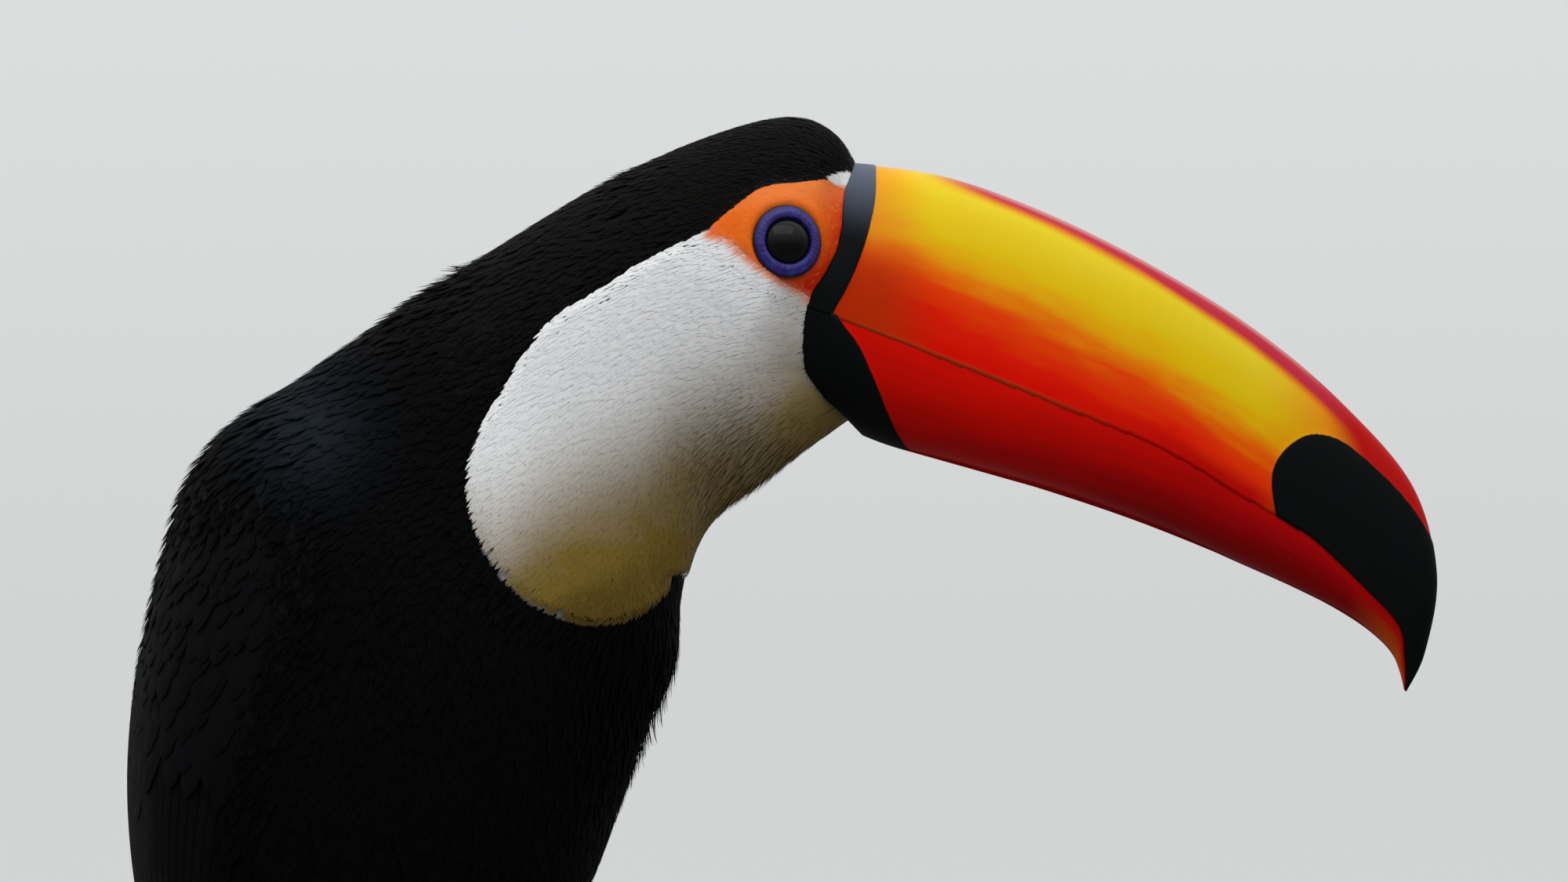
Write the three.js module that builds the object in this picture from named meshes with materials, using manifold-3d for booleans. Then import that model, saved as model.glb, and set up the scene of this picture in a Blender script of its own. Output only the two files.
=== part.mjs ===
// Toco toucan, life size, standing on the floor with its head drawn low and its tail laid back.
//
// Millimetres, +Z up. The bill points along +X and the bird is symmetric about the plane Y = 0,
// with its right side at -Y. While it is built, X is measured from a point between the feet and
// Z from the floor; the last lines centre the group over its own outline.

import Module from 'manifold-3d';
import * as THREE from 'three';
import { mergeVertices } from 'three/addons/utils/BufferGeometryUtils.js';

const wasm = await Module();
wasm.setup();

// ---------------------------------------------------------------------------------------------
// Driving dimensions
// ---------------------------------------------------------------------------------------------

const GAP = 0.3; // clearance left between neighbouring pieces
const HALF_GAP = GAP / 2;
const BLUNT = 0.06; // a rounded end stops at this share of its full section
const SNAP = 1024; // corners sit on a grid this many times finer than a millimetre
const WELD = 1e-4; // corners nearer than this are one corner
const REACH = 400; // longer than the bird, for cutting shapes that run past it
const SIDES = { right: -1, left: 1 };
const STEPS = { face: 16, mouth: 22, wing: 26 }; // straight pieces in each smooth line

// Head, neck and trunk: dorsal edge, ventral edge and half width at each landmark.
const BODY = [
  { place: 'lores', back: [103, 311], front: [105, 262], half: 19 },
  { place: 'brow', back: [92.8, 329], front: [94, 255], half: 22 },
  { place: 'crown', back: [75, 332.3], front: [77, 243], half: 28.5 },
  { place: 'nape', back: [37.5, 318], front: [61, 230], half: 32 },
  { place: 'hind neck', back: [-3.5, 293.2], front: [54.2, 213], half: 37 },
  { place: 'mantle', back: [-40.5, 268.7], front: [52.4, 194], half: 45 },
  { place: 'shoulder', back: [-68.5, 246], front: [45.4, 178], half: 52 },
  { place: 'breast', back: [-81, 209], front: [39.6, 161], half: 56 },
  { place: 'belly', back: [-86, 171], front: [31.4, 139], half: 56.5 },
  { place: 'lower back', back: [-84, 136], front: [18, 111], half: 52.5 },
  { place: 'rump', back: [-76.5, 108], front: [-9, 79], half: 42 },
  { place: 'vent', back: [-87, 90], front: [-46, 62], half: 29 },
  { place: 'tail coverts', back: [-107, 76], front: [-86, 50.5], half: 22.5 },
  { place: 'coverts end', back: [-131, 58.5], front: [-124, 46.5], half: 17 },
];
const BODY_MESH = { sides: 26, rings: 30, roundness: 2.15, endRound: 0.05 };

// Bill: culmen (top edge), tomium (mouth line), gonys (lower edge) and half width at each station.
const BILL = [
  { culmen: [84, 321.5], tomium: [78, 287], gonys: [78, 262], half: 21 },
  { culmen: [103, 320.6], tomium: [100, 279], gonys: [103.6, 250.2], half: 21.2 },
  { culmen: [124, 317], tomium: [126, 269], gonys: [124, 244.6], half: 20.4 },
  { culmen: [150, 307.2], tomium: [151, 259], gonys: [150, 237.4], half: 18.8 },
  { culmen: [177, 293.4], tomium: [176, 248.4], gonys: [175, 228.6], half: 16.4 },
  { culmen: [201, 278.2], tomium: [196, 236.6], gonys: [195, 219.8], half: 13.8 },
  { culmen: [222, 260.4], tomium: [213, 226.6], gonys: [211.5, 212.4], half: 11.2 },
  { culmen: [240, 239.4], tomium: [227.5, 213.2], gonys: [225.5, 205], half: 8.4 },
  { culmen: [246.2, 217], tomium: [236.4, 203.4], gonys: [234, 197.6], half: 5.6 },
  { culmen: [243.4, 197], tomium: [238, 194.4], gonys: [236.6, 192.6], half: 3 },
  { culmen: [238.6, 186.6], tomium: [238.2, 186.9], gonys: [238, 187.2], half: 0.9 },
];
const BILL_MESH = { sides: 18, rings: 22, roundness: 2.2 };
// Where the horn of the bill meets the face, from the forehead down to the throat.
const BILL_BASE = [
  [98.6, 324], [95.3, 314], [94.8, 305], [93.6, 299], [90.6, 293], [87, 288],
  [85.4, 282], [84.8, 275], [85.4, 268], [90, 261.5], [96, 256.2], [100, 252],
];

// Straight cuts that part the head from the neck and the neck from the trunk.
const HEAD_CUT = [[43, 322], [84, 238]];
const NECK_CUT = [[-22, 286], [54, 204]];

// Eyes: apparent ring and ball, and the place of the eye on the side of the head.
const EYE = {
  place: [80.9, 26.2, 300.8],
  ballRadius: 7.6,
  ballSunk: 4.8,
  ringRadius: 8.7,
  ringRise: 1.3,
  ringSunk: 1.8,
  ringSlope: [[1, 0.25], [0.86, 0.8], [0.62, 1]], // shares of its radius and rise, from the rim inwards
  turnForward: 13,
  turnUp: 9,
};
const EYE_MESH = { ballAround: 12, ballDown: 8, ringAround: 14 };

// Folded wings: thickness over the trunk and outline seen from the side.
const WING = { thickness: 5.2, proud: 0.6, alongMidline: 1.2 };
const WING_OUTLINE = [
  [-58, 262], [-42, 246], [-35, 228], [-39, 205], [-46, 180], [-52, 155], [-60, 130],
  [-69, 111], [-77, 97.5], [-96, 105], [-106, 140], [-106, 200], [-88, 245],
];
const MANTLE = { top: 262, halfTop: 13, bottom: 150 }; // black back left bare between the wings

// Tail: two surfaces and half width, from the root inside the coverts to the tip on the floor.
const TAIL = [
  { upper: [-72, 87], lower: [-76, 78], half: 15 },
  { upper: [-100, 71.5], lower: [-103, 62.5], half: 20 },
  { upper: [-130, 53.5], lower: [-133, 45.5], half: 24.5 },
  { upper: [-160, 34.5], lower: [-163, 27.6], half: 28.5 },
  { upper: [-187, 17], lower: [-189, 11], half: 31 },
  { upper: [-205, 6.6], lower: [-206, 1.4], half: 30 },
  { upper: [-218, 2.6], lower: [-218, -2.2], half: 25 },
];
const TAIL_MESH = { sides: 14, rings: 11, roundness: 2.6, endRound: 0.14 };

// Legs: paths and radii on the left side; the right leg mirrors them.
const THIGH = {
  path: [[-8, 20, 116], [-17, 25, 88], [-24, 28, 64], [-26, 28, 52]],
  radii: [16, 19, 11.5, 5.4],
};
const THIGH_MESH = { sides: 12, rings: 6 };
const SHANK = {
  path: [[-26, 28, 56], [-25, 28, 47], [-13, 28, 29], [-2, 28, 13.5], [0.5, 28, 7.5], [1.2, 28, -0.8]],
  radii: [3.4, 4.3, 3.1, 3.6, 5.2, 5],
};
const SHANK_MESH = { sides: 10, rings: 9 };
const ANKLE = { x: 0, y: 28 }; // the point above which the toes meet
const TOES = [
  { name: 'outer_front', heading: 13, length: 41, radius: 3.4, joints: 3 },
  { name: 'inner_front', heading: -15, length: 30, radius: 3.1, joints: 2 },
  { name: 'outer_back', heading: 160, length: 38, radius: 3.3, joints: 3 },
  { name: 'inner_back', heading: -162, length: 20, radius: 3.0, joints: 1 },
];
const TOE_SOLE = 0.5; // how far the round of a toe is flattened where it rests on the floor
const TOE_NARROWING = 0.22; // share of its thickness that a toe loses towards the claw
const TOE_WAIST = 0.92; // thickness between two joint pads, as a share of the pads'
const TOE_ROOT = 6.5; // height at which a toe leaves the shank
const TOE_ARCH = { share: 0.2, rise: 0.6 }; // where along a toe it comes down, and how high it still is
const TOE_MIDDLE = 0.6;
const TOE_MESH = { sides: 8, rings: 5, ends: 0.1 };
const CLAW = {
  length: 13,
  depth: 2.4,
  width: 1.7,
  rooted: 2.4,
  path: [[0, 0.4], [0.4, 1.6], [0.8, 0.5], [1, -1.6]], // shares of its length and heights over the toe's end
  taper: [1, 0.8, 0.5, 0.125], // shares of its depth
};
const CLAW_MESH = { sides: 6, rings: 3, ends: 0.05 };

// ---------------------------------------------------------------------------------------------
// Finishes
// ---------------------------------------------------------------------------------------------

function finish(color, roughness) {
  return new THREE.MeshStandardMaterial({ color, roughness, metalness: 0 });
}

const FINISHES = {
  plumage: finish('#0c0c0e', 0.75),
  bib: finish('#e9e8e2', 0.85),
  upperBill: finish('#f0a010', 0.35),
  lowerBill: finish('#a81206', 0.35),
  eyeSkin: finish('#3a3aa0', 0.5),
  eyeball: finish('#08080a', 0.05),
  legSkin: finish('#5c7186', 0.6),
  claw: finish('#1c1c20', 0.4),
};

// ---------------------------------------------------------------------------------------------
// Solids
// ---------------------------------------------------------------------------------------------

/** A closed geometry as a solid that can be joined and cut. */
function solid(geometry) {
  const bare = geometry.clone();
  bare.deleteAttribute('normal');
  bare.deleteAttribute('uv');
  bare.attributes.position.array.forEach((value, index, all) => {
    all[index] = Math.round(value * SNAP) / SNAP;
  });
  const merged = mergeVertices(bare, WELD);
  return new wasm.Manifold(new wasm.Mesh({
    numProp: 3,
    vertProperties: new Float32Array(merged.attributes.position.array),
    triVerts: new Uint32Array(merged.index.array),
  }));
}

/** A solid as a geometry again. */
function geometryOf(body) {
  const mesh = body.getMesh();
  const geometry = new THREE.BufferGeometry();
  geometry.setAttribute('position', new THREE.BufferAttribute(mesh.vertProperties, 3));
  geometry.setIndex(new THREE.BufferAttribute(mesh.triVerts, 1));
  geometry.computeVertexNormals();
  return geometry;
}

/** A smooth function through evenly spaced values, from 0 to 1. */
function through(values) {
  const curve = new THREE.SplineCurve(values.map((value, index) => new THREE.Vector2(index, value)));
  return (t) => curve.getPoint(t).y;
}

/** A smooth path through evenly spaced [x, z] points, from 0 to 1. */
function rail(points) {
  const curve = new THREE.SplineCurve(points.map(([x, z]) => new THREE.Vector2(x, z)));
  return (t) => curve.getPoint(t);
}

/** The share of its full section that a body has near an end rounded over that much of its length. */
function roundedEnd(distance, over) {
  if (distance >= over) return 1;
  const short = 1 - distance / over;
  return Math.max(BLUNT, Math.sqrt(1 - short * short));
}

/** A sine or cosine pushed outwards, so that an ellipse grows squarer as power rises above 2. */
function squared(value, power) {
  return Math.sign(value) * Math.abs(value) ** (2 / power);
}

/**
 * A closed body of rings laid between an upper and a lower rail in the plane Y = 0.
 * Its widest line runs along the middle rail; heading is 1 when the rails run towards +X.
 */
function railBody({ upper, middle, lower, half, heading, sides, rings, roundness, endRound = 0, grow = 0 }) {
  const geometry = new THREE.CylinderGeometry(1, 1, 1, sides, rings);
  const position = geometry.attributes.position;
  for (let i = 0; i < position.count; i += 1) {
    const t = position.getY(i) + 0.5;
    const top = upper(t);
    const mid = middle(t);
    const bottom = lower(t);
    const end = endRound > 0 ? roundedEnd(1 - t, endRound) : 1;
    const sweep = Math.atan2(position.getZ(i), position.getX(i));
    const size = end * Math.hypot(position.getX(i), position.getZ(i));
    const rise = squared(Math.cos(sweep), roundness) * size;
    const edge = rise > 0 ? top : bottom;
    const span = Math.max(1e-6, edge.distanceTo(mid));
    const share = (Math.abs(rise) * (span + grow)) / span;
    position.setXYZ(
      i,
      mid.x + (edge.x - mid.x) * share,
      heading * squared(Math.sin(sweep), roundness) * size * (half(t) + grow),
      mid.y + (edge.y - mid.y) * share,
    );
  }
  return solid(geometry);
}

/** A closed round body along a path, with a radius at each of its points and both ends rounded. */
function limb({ path, radii, sides, rings, ends = 0.12, flat = 1, grow = 0 }) {
  const curve = new THREE.CatmullRomCurve3(path.map((point) => new THREE.Vector3(...point)));
  const radius = through(radii);
  const frames = curve.computeFrenetFrames(rings);
  const geometry = new THREE.CylinderGeometry(1, 1, 1, sides, rings);
  const position = geometry.attributes.position;
  const place = new THREE.Vector3();
  for (let i = 0; i < position.count; i += 1) {
    const t = position.getY(i) + 0.5;
    const frame = Math.round(t * rings);
    const size = (radius(t) + grow) * roundedEnd(t, ends) * roundedEnd(1 - t, ends);
    place.copy(curve.getPointAt(t));
    place.addScaledVector(frames.binormals[frame], position.getX(i) * size);
    place.addScaledVector(frames.normals[frame], position.getZ(i) * size * flat);
    position.setXYZ(i, place.x, place.y, place.z);
  }
  return solid(geometry);
}

/** Everything inside an outline seen from the side, between two distances from the midline. */
function sideBlock(points, near, far) {
  const shape = new THREE.Shape(points.map(([x, z]) => new THREE.Vector2(x, z)));
  const geometry = new THREE.ExtrudeGeometry(shape, { depth: far - near, bevelEnabled: false });
  geometry.rotateX(Math.PI / 2);
  geometry.translate(0, far, 0);
  return solid(geometry);
}

/** Points along a smooth open curve through the given ones. */
function smoothLine(points, steps) {
  const curve = new THREE.SplineCurve(points.map(([x, z]) => new THREE.Vector2(x, z)));
  return curve.getPoints(steps).map((point) => [point.x, point.y]);
}

/** A clockwise outline with every point moved outwards by a distance. */
function widened(points, distance) {
  return points.map(([x, z], index) => {
    const before = points[(index + points.length - 1) % points.length];
    const after = points[(index + 1) % points.length];
    const along = new THREE.Vector2(after[0] - before[0], after[1] - before[1]).normalize();
    return [x - along.y * distance, z + along.x * distance];
  });
}

/** All that lies on the head's side of a straight cut, moved towards the head by a distance. */
function aheadOf([top, bottom], moved) {
  const along = new THREE.Vector2(bottom[0] - top[0], bottom[1] - top[1]).normalize();
  const ahead = [-along.y, along.x];
  const corner = (point, run, out) => [
    point[0] + along.x * run + ahead[0] * (out + moved),
    point[1] + along.y * run + ahead[1] * (out + moved),
  ];
  return sideBlock(
    [
      corner(top, -REACH, 0),
      corner(bottom, REACH, 0),
      corner(bottom, REACH, REACH),
      corner(top, -REACH, REACH),
    ],
    -REACH,
    REACH,
  );
}

/** The largest single piece of a solid, without slivers that a cut leaves behind. */
function mainPiece(body) {
  const pieces = body.decompose();
  return pieces.reduce((best, piece) => (piece.volume() > best.volume() ? piece : best));
}

const floorBlock = solid(new THREE.BoxGeometry(REACH * 2, REACH * 2, REACH).translate(0, 0, -REACH / 2));

/** A solid with whatever reaches below the floor cut off flat. */
function onFloor(body) {
  return body.subtract(floorBlock);
}

// ---------------------------------------------------------------------------------------------
// Head, neck and trunk as one body
// ---------------------------------------------------------------------------------------------

/** Head, neck and trunk in one piece, grown outwards by a distance or shrunk when it is negative. */
function wholeBody(grow) {
  const upper = rail(BODY.map((station) => station.back));
  const lower = rail(BODY.map((station) => station.front));
  return railBody({
    upper,
    lower,
    middle: (t) => upper(t).lerp(lower(t), 0.5),
    half: through(BODY.map((station) => station.half)),
    heading: -1,
    grow,
    ...BODY_MESH,
  });
}

// ---------------------------------------------------------------------------------------------
// Bill
// ---------------------------------------------------------------------------------------------

/** The region in front of the line where the bill meets the face, moved forward by a distance. */
function inFrontOfFace(moved) {
  const line = smoothLine(BILL_BASE, STEPS.face).map(([x, z]) => [x + moved, z]);
  const [topX] = line[0];
  const [bottomX] = line[line.length - 1];
  return sideBlock([[topX, REACH], ...line, [bottomX, 0], [REACH, 0], [REACH, REACH]], -REACH, REACH);
}

/** The region above the mouth line, moved up by a distance. */
function aboveMouth(moved) {
  const line = smoothLine(BILL.map((station) => station.tomium), STEPS.mouth).map(([x, z]) => [x, z + moved]);
  const [firstX, firstZ] = line[0];
  const [lastX] = line[line.length - 1];
  return sideBlock(
    [[firstX - REACH, firstZ], ...line, [lastX, 0], [REACH, 0], [REACH, REACH], [firstX - REACH, REACH]],
    -REACH,
    REACH,
  );
}

function buildBill() {
  const whole = railBody({
    upper: rail(BILL.map((station) => station.culmen)),
    middle: rail(BILL.map((station) => station.tomium)),
    lower: rail(BILL.map((station) => station.gonys)),
    half: through(BILL.map((station) => station.half)),
    heading: 1,
    ...BILL_MESH,
  }).intersect(inFrontOfFace(HALF_GAP));
  return {
    upper: mainPiece(whole.intersect(aboveMouth(HALF_GAP))),
    lower: mainPiece(whole.subtract(aboveMouth(-HALF_GAP))),
  };
}

// ---------------------------------------------------------------------------------------------
// Eyes
// ---------------------------------------------------------------------------------------------

/** The eye's own parts, built about a Y axis that points out of the head. */
function eyeParts(grow) {
  const ball = new THREE.SphereGeometry(EYE.ballRadius + grow, EYE_MESH.ballAround, EYE_MESH.ballDown);
  ball.translate(0, -EYE.ballSunk, 0);
  const radius = EYE.ringRadius + grow;
  const floor = -EYE.ringSunk - grow;
  const crest = EYE.ringRise + grow;
  const profile = [
    new THREE.Vector2(0, floor),
    new THREE.Vector2(radius, floor),
    ...EYE.ringSlope.map(([outShare, riseShare]) => new THREE.Vector2(radius * outShare, crest * riseShare)),
    new THREE.Vector2(0, crest),
  ];
  return { ball, dome: new THREE.LatheGeometry(profile, EYE_MESH.ringAround) };
}

/** Places a geometry of the eye on one side of the head. */
function onHead(geometry, side) {
  const [x, y, z] = EYE.place;
  const forward = THREE.MathUtils.degToRad(EYE.turnForward);
  const up = THREE.MathUtils.degToRad(EYE.turnUp);
  const outward = new THREE.Vector3(Math.sin(forward), side * Math.cos(forward), Math.sin(up)).normalize();
  const turn = new THREE.Quaternion().setFromUnitVectors(new THREE.Vector3(0, 1, 0), outward);
  return geometry.clone().applyQuaternion(turn).translate(x, side * y, z);
}

function buildEye(side) {
  const exact = eyeParts(0);
  const wider = eyeParts(GAP);
  const ball = solid(onHead(exact.ball, side));
  const ring = solid(onHead(exact.dome, side)).subtract(solid(onHead(wider.ball, side)));
  const socket = solid(onHead(wider.dome, side)).add(solid(onHead(wider.ball, side)));
  return { ball, ring: mainPiece(ring), socket };
}

// ---------------------------------------------------------------------------------------------
// Wings and tail
// ---------------------------------------------------------------------------------------------

/** The wedge of back that shows between the wings, widest at the shoulders. */
function mantleWedge(widen) {
  const wedge = new THREE.Shape([
    new THREE.Vector2(-WING.alongMidline - widen, 0),
    new THREE.Vector2(WING.alongMidline + widen, 0),
    new THREE.Vector2(WING.alongMidline + widen, MANTLE.bottom),
    new THREE.Vector2(MANTLE.halfTop + widen, MANTLE.top),
    new THREE.Vector2(-MANTLE.halfTop - widen, MANTLE.top),
    new THREE.Vector2(-WING.alongMidline - widen, MANTLE.bottom),
  ]);
  const geometry = new THREE.ExtrudeGeometry(wedge, { depth: REACH, bevelEnabled: false });
  geometry.rotateX(Math.PI / 2);
  geometry.rotateZ(Math.PI / 2);
  geometry.translate(-REACH, 0, 0);
  return solid(geometry);
}

/** One folded wing, lying in the side of the trunk, grown outwards by a distance. */
function wing(side, grow) {
  const shell = wholeBody(WING.proud + grow).subtract(wholeBody(-WING.thickness - grow));
  const closed = [...WING_OUTLINE, WING_OUTLINE[0]];
  const outline = widened(smoothLine(closed, STEPS.wing).slice(0, -1), grow);
  const half = side > 0 ? sideBlock(outline, 0, REACH) : sideBlock(outline, -REACH, 0);
  return mainPiece(shell.intersect(half).subtract(mantleWedge(-grow)));
}

function tail(grow) {
  const upper = rail(TAIL.map((station) => station.upper));
  const lower = rail(TAIL.map((station) => station.lower));
  return railBody({
    upper,
    lower,
    middle: (t) => upper(t).lerp(lower(t), 0.5),
    half: through(TAIL.map((station) => station.half)),
    heading: -1,
    grow,
    ...TAIL_MESH,
  });
}

// ---------------------------------------------------------------------------------------------
// Legs and feet
// ---------------------------------------------------------------------------------------------

/** A point list mirrored to the bird's right when side is -1. */
function onSide(points, side) {
  return points.map(([x, y, z]) => [x, y * side, z]);
}

function thigh(side, grow) {
  return limb({ path: onSide(THIGH.path, side), radii: THIGH.radii, grow, ...THIGH_MESH });
}

function shank(side, grow) {
  return limb({ path: onSide(SHANK.path, side), radii: SHANK.radii, grow, ...SHANK_MESH });
}

/** A toe lying on the floor, swelling at each joint pad, and the claw at its end. */
function toe({ heading, length, radius, joints }, side, grow) {
  const angle = THREE.MathUtils.degToRad(heading) * side;
  const at = (along, height) => [
    ANKLE.x + Math.cos(angle) * along,
    ANKLE.y * side + Math.sin(angle) * along,
    height,
  ];
  const radiusAt = (share) => radius * (1 - TOE_NARROWING * share);
  const heightAt = (share) => radiusAt(share) * Math.cos(Math.PI / TOE_MESH.sides) - TOE_SOLE;
  const path = [
    at(0, TOE_ROOT),
    at(length * TOE_ARCH.share, heightAt(TOE_ARCH.share) + TOE_ARCH.rise),
    at(length * TOE_MIDDLE, heightAt(TOE_MIDDLE)),
    at(length, heightAt(1)),
  ];
  const pads = joints * 2 + 1;
  const radii = Array.from({ length: pads }, (_, index) => (
    radiusAt(index / (pads - 1)) * (index % 2 === 0 ? 1 : TOE_WAIST)
  ));
  const start = length - CLAW.rooted;
  return {
    digit: limb({ path, radii, grow, ...TOE_MESH }),
    claw: limb({
      path: CLAW.path.map(([share, rise]) => at(start + CLAW.length * share, heightAt(1) + rise)),
      radii: CLAW.taper.map((share) => CLAW.depth * share),
      flat: CLAW.width / CLAW.depth,
      ...CLAW_MESH,
    }),
  };
}

// ---------------------------------------------------------------------------------------------
// The bird
// ---------------------------------------------------------------------------------------------

const toucan = new THREE.Group();

function addPart(name, body, material) {
  const mesh = new THREE.Mesh(geometryOf(body), material);
  mesh.name = name;
  toucan.add(mesh);
}

function addLeg(sideName, side, trunkRoom) {
  const shankBody = onFloor(shank(side, 0));
  const shankRoom = shank(side, GAP);
  const freeThigh = mainPiece(thigh(side, 0).subtract(trunkRoom).subtract(shankRoom));
  addPart(`thigh_${sideName}`, freeThigh, FINISHES.plumage);
  addPart(`shank_${sideName}`, shankBody, FINISHES.legSkin);
  let taken = shankRoom;
  TOES.forEach((sizes) => {
    const { digit, claw } = toe(sizes, side, 0);
    const room = toe(sizes, side, GAP).digit;
    addPart(`toe_${sizes.name}_${sideName}`, mainPiece(onFloor(digit.subtract(taken))), FINISHES.legSkin);
    addPart(`claw_${sizes.name}_${sideName}`, mainPiece(onFloor(claw.subtract(room))), FINISHES.claw);
    taken = taken.add(room);
  });
}

function addBird() {
  const bill = buildBill();
  const face = inFrontOfFace(-HALF_GAP);
  const tailRoom = tail(GAP).add(tail(GAP).translate([GAP, 0, GAP])); // also clear of its blunt root
  const body = wholeBody(0);
  const eyes = Object.values(SIDES).map((side) => buildEye(side));
  const wings = Object.values(SIDES).map((side) => wing(side, 0));
  const wingRooms = Object.values(SIDES).map((side) => wing(side, GAP));

  const head = eyes.reduce(
    (rest, eye) => rest.subtract(eye.socket),
    body.intersect(aheadOf(HEAD_CUT, HALF_GAP)).subtract(face),
  );
  const neck = body.intersect(aheadOf(NECK_CUT, HALF_GAP)).subtract(aheadOf(HEAD_CUT, -HALF_GAP));
  const trunk = wingRooms.reduce(
    (rest, room) => rest.subtract(room),
    body.subtract(aheadOf(NECK_CUT, -HALF_GAP)).subtract(tailRoom),
  );

  addPart('head', mainPiece(head), FINISHES.plumage);
  addPart('neck', mainPiece(neck), FINISHES.bib);
  addPart('trunk', mainPiece(trunk), FINISHES.plumage);
  addPart('bill_upper', bill.upper, FINISHES.upperBill);
  addPart('bill_lower', bill.lower, FINISHES.lowerBill);
  addPart('tail', onFloor(tail(0)), FINISHES.plumage);
  Object.entries(SIDES).forEach(([sideName, side], index) => {
    addPart(`eye_${sideName}`, eyes[index].ball, FINISHES.eyeball);
    addPart(`eye_ring_${sideName}`, eyes[index].ring, FINISHES.eyeSkin);
    addPart(`wing_${sideName}`, wings[index], FINISHES.plumage);
    addLeg(sideName, side, wholeBody(GAP));
  });
}

addBird();
const outline = new THREE.Box3().setFromObject(toucan);
toucan.position.x = -outline.getCenter(new THREE.Vector3()).x;

export default toucan;
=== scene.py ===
"""Toco toucan, life size: one skin under feathers, bill, eyes, legs and a plain studio.

Lengths are millimetres in the bird's own plan, where X runs towards the bill from a point
between the feet, Y to the bird's left and Z up from the floor. They become metres in the
shared frame when a mesh is made. "Places" are such points, kept in an array's last axis.
"""

import logging
import math
from dataclasses import dataclass, field
from enum import Enum
from functools import cached_property
from typing import Callable, Iterable, Optional, Protocol, Sequence, Union

import bpy
import numpy as np
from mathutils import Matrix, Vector


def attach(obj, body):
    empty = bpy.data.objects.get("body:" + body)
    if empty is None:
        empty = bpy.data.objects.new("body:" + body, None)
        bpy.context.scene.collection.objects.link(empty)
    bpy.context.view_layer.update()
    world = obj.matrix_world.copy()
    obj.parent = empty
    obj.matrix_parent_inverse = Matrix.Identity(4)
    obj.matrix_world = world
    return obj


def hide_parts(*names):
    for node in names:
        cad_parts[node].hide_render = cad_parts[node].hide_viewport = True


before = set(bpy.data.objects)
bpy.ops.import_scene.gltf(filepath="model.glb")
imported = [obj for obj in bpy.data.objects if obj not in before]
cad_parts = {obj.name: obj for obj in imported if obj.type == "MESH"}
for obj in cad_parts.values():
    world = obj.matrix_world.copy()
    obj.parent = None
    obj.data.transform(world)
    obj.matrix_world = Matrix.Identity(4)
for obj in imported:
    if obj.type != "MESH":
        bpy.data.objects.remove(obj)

LOG = logging.getLogger("toucan")

MM = 0.001
MIDDLE_X = 14.07  # the middle of the bird's outline, ahead of the point between the feet
BODY = "root"
CAP_STRIP = 0.003  # height of an end cap on the bake map
SIDES = {"right": -1.0, "left": 1.0}
TOES = ("outer_front", "inner_front", "outer_back", "inner_back")
TURN = 2 * math.pi

Array = np.ndarray
Numbers = Union[float, np.ndarray]
Piece = bpy.types.Object
Material = bpy.types.Material
Points = Sequence[tuple[float, ...]]
Pair = tuple[float, float]
Colour = tuple[float, float, float]
Place = tuple[float, float, float]
Rule = Callable[[Array], Array]  # gives a number for each place


# ---- Numbers ----


def smooth(value: Array, low: Numbers, high: float) -> Array:
    """Rises smoothly from 0 where a value is low to 1 where it is high."""
    share = np.clip((value - low) / (high - low), 0.0, 1.0)
    return share * share * (3 - 2 * share)


def spline(points: Sequence, t: Array) -> Array:
    """Follows a smooth curve through evenly spaced values or points.

    Args:
        points: The values or points that the curve passes through.
        t: Shares of the way along the curve.

    Returns:
        One value or point for each share.
    """
    knots = np.asarray(points, dtype=float)
    last = len(knots) - 1
    place = np.clip(np.asarray(t, dtype=float), 0.0, 1.0) * last
    index = np.minimum(place.astype(int), last - 1)
    w = place - index
    if knots.ndim > 1:
        w = w[..., None]
    before, start = knots[np.maximum(index - 1, 0)], knots[index]
    end, after = knots[index + 1], knots[np.minimum(index + 2, last)]
    v0, v1 = (end - before) / 2, (after - start) / 2
    cubic = (2 * start - 2 * end + v0 + v1) * w**3
    return cubic + (3 * end - 3 * start - 2 * v0 - v1) * w**2 + v0 * w + start


def squared(value: Array, power: float) -> Array:
    """Pushes a sine or cosine outwards, so that an ellipse grows squarer as power passes 2."""
    return np.sign(value) * np.abs(value) ** (2 / power)


def length_of(vectors: Array) -> Array:
    """How long each vector is."""
    return np.linalg.norm(vectors, axis=-1)


def unit(vectors: Array) -> Array:
    """The same vectors at length 1."""
    return vectors / np.maximum(length_of(vectors)[..., None], 1e-9)


def circle(columns: int) -> Array:
    """Evenly spaced angles of a full turn, as one row."""
    return (np.arange(columns) / columns * TURN)[None, :]


# ---- Surfaces that skin and feathers lie on ----


class Surface(Protocol):
    """A round surface read by its length t, from 0 to 1, and its turn in radians."""

    def at(self, t: Array, turn: Array, grow: Numbers = 0.0) -> Array:
        """Points on the surface, grown outwards by a distance."""


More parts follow.
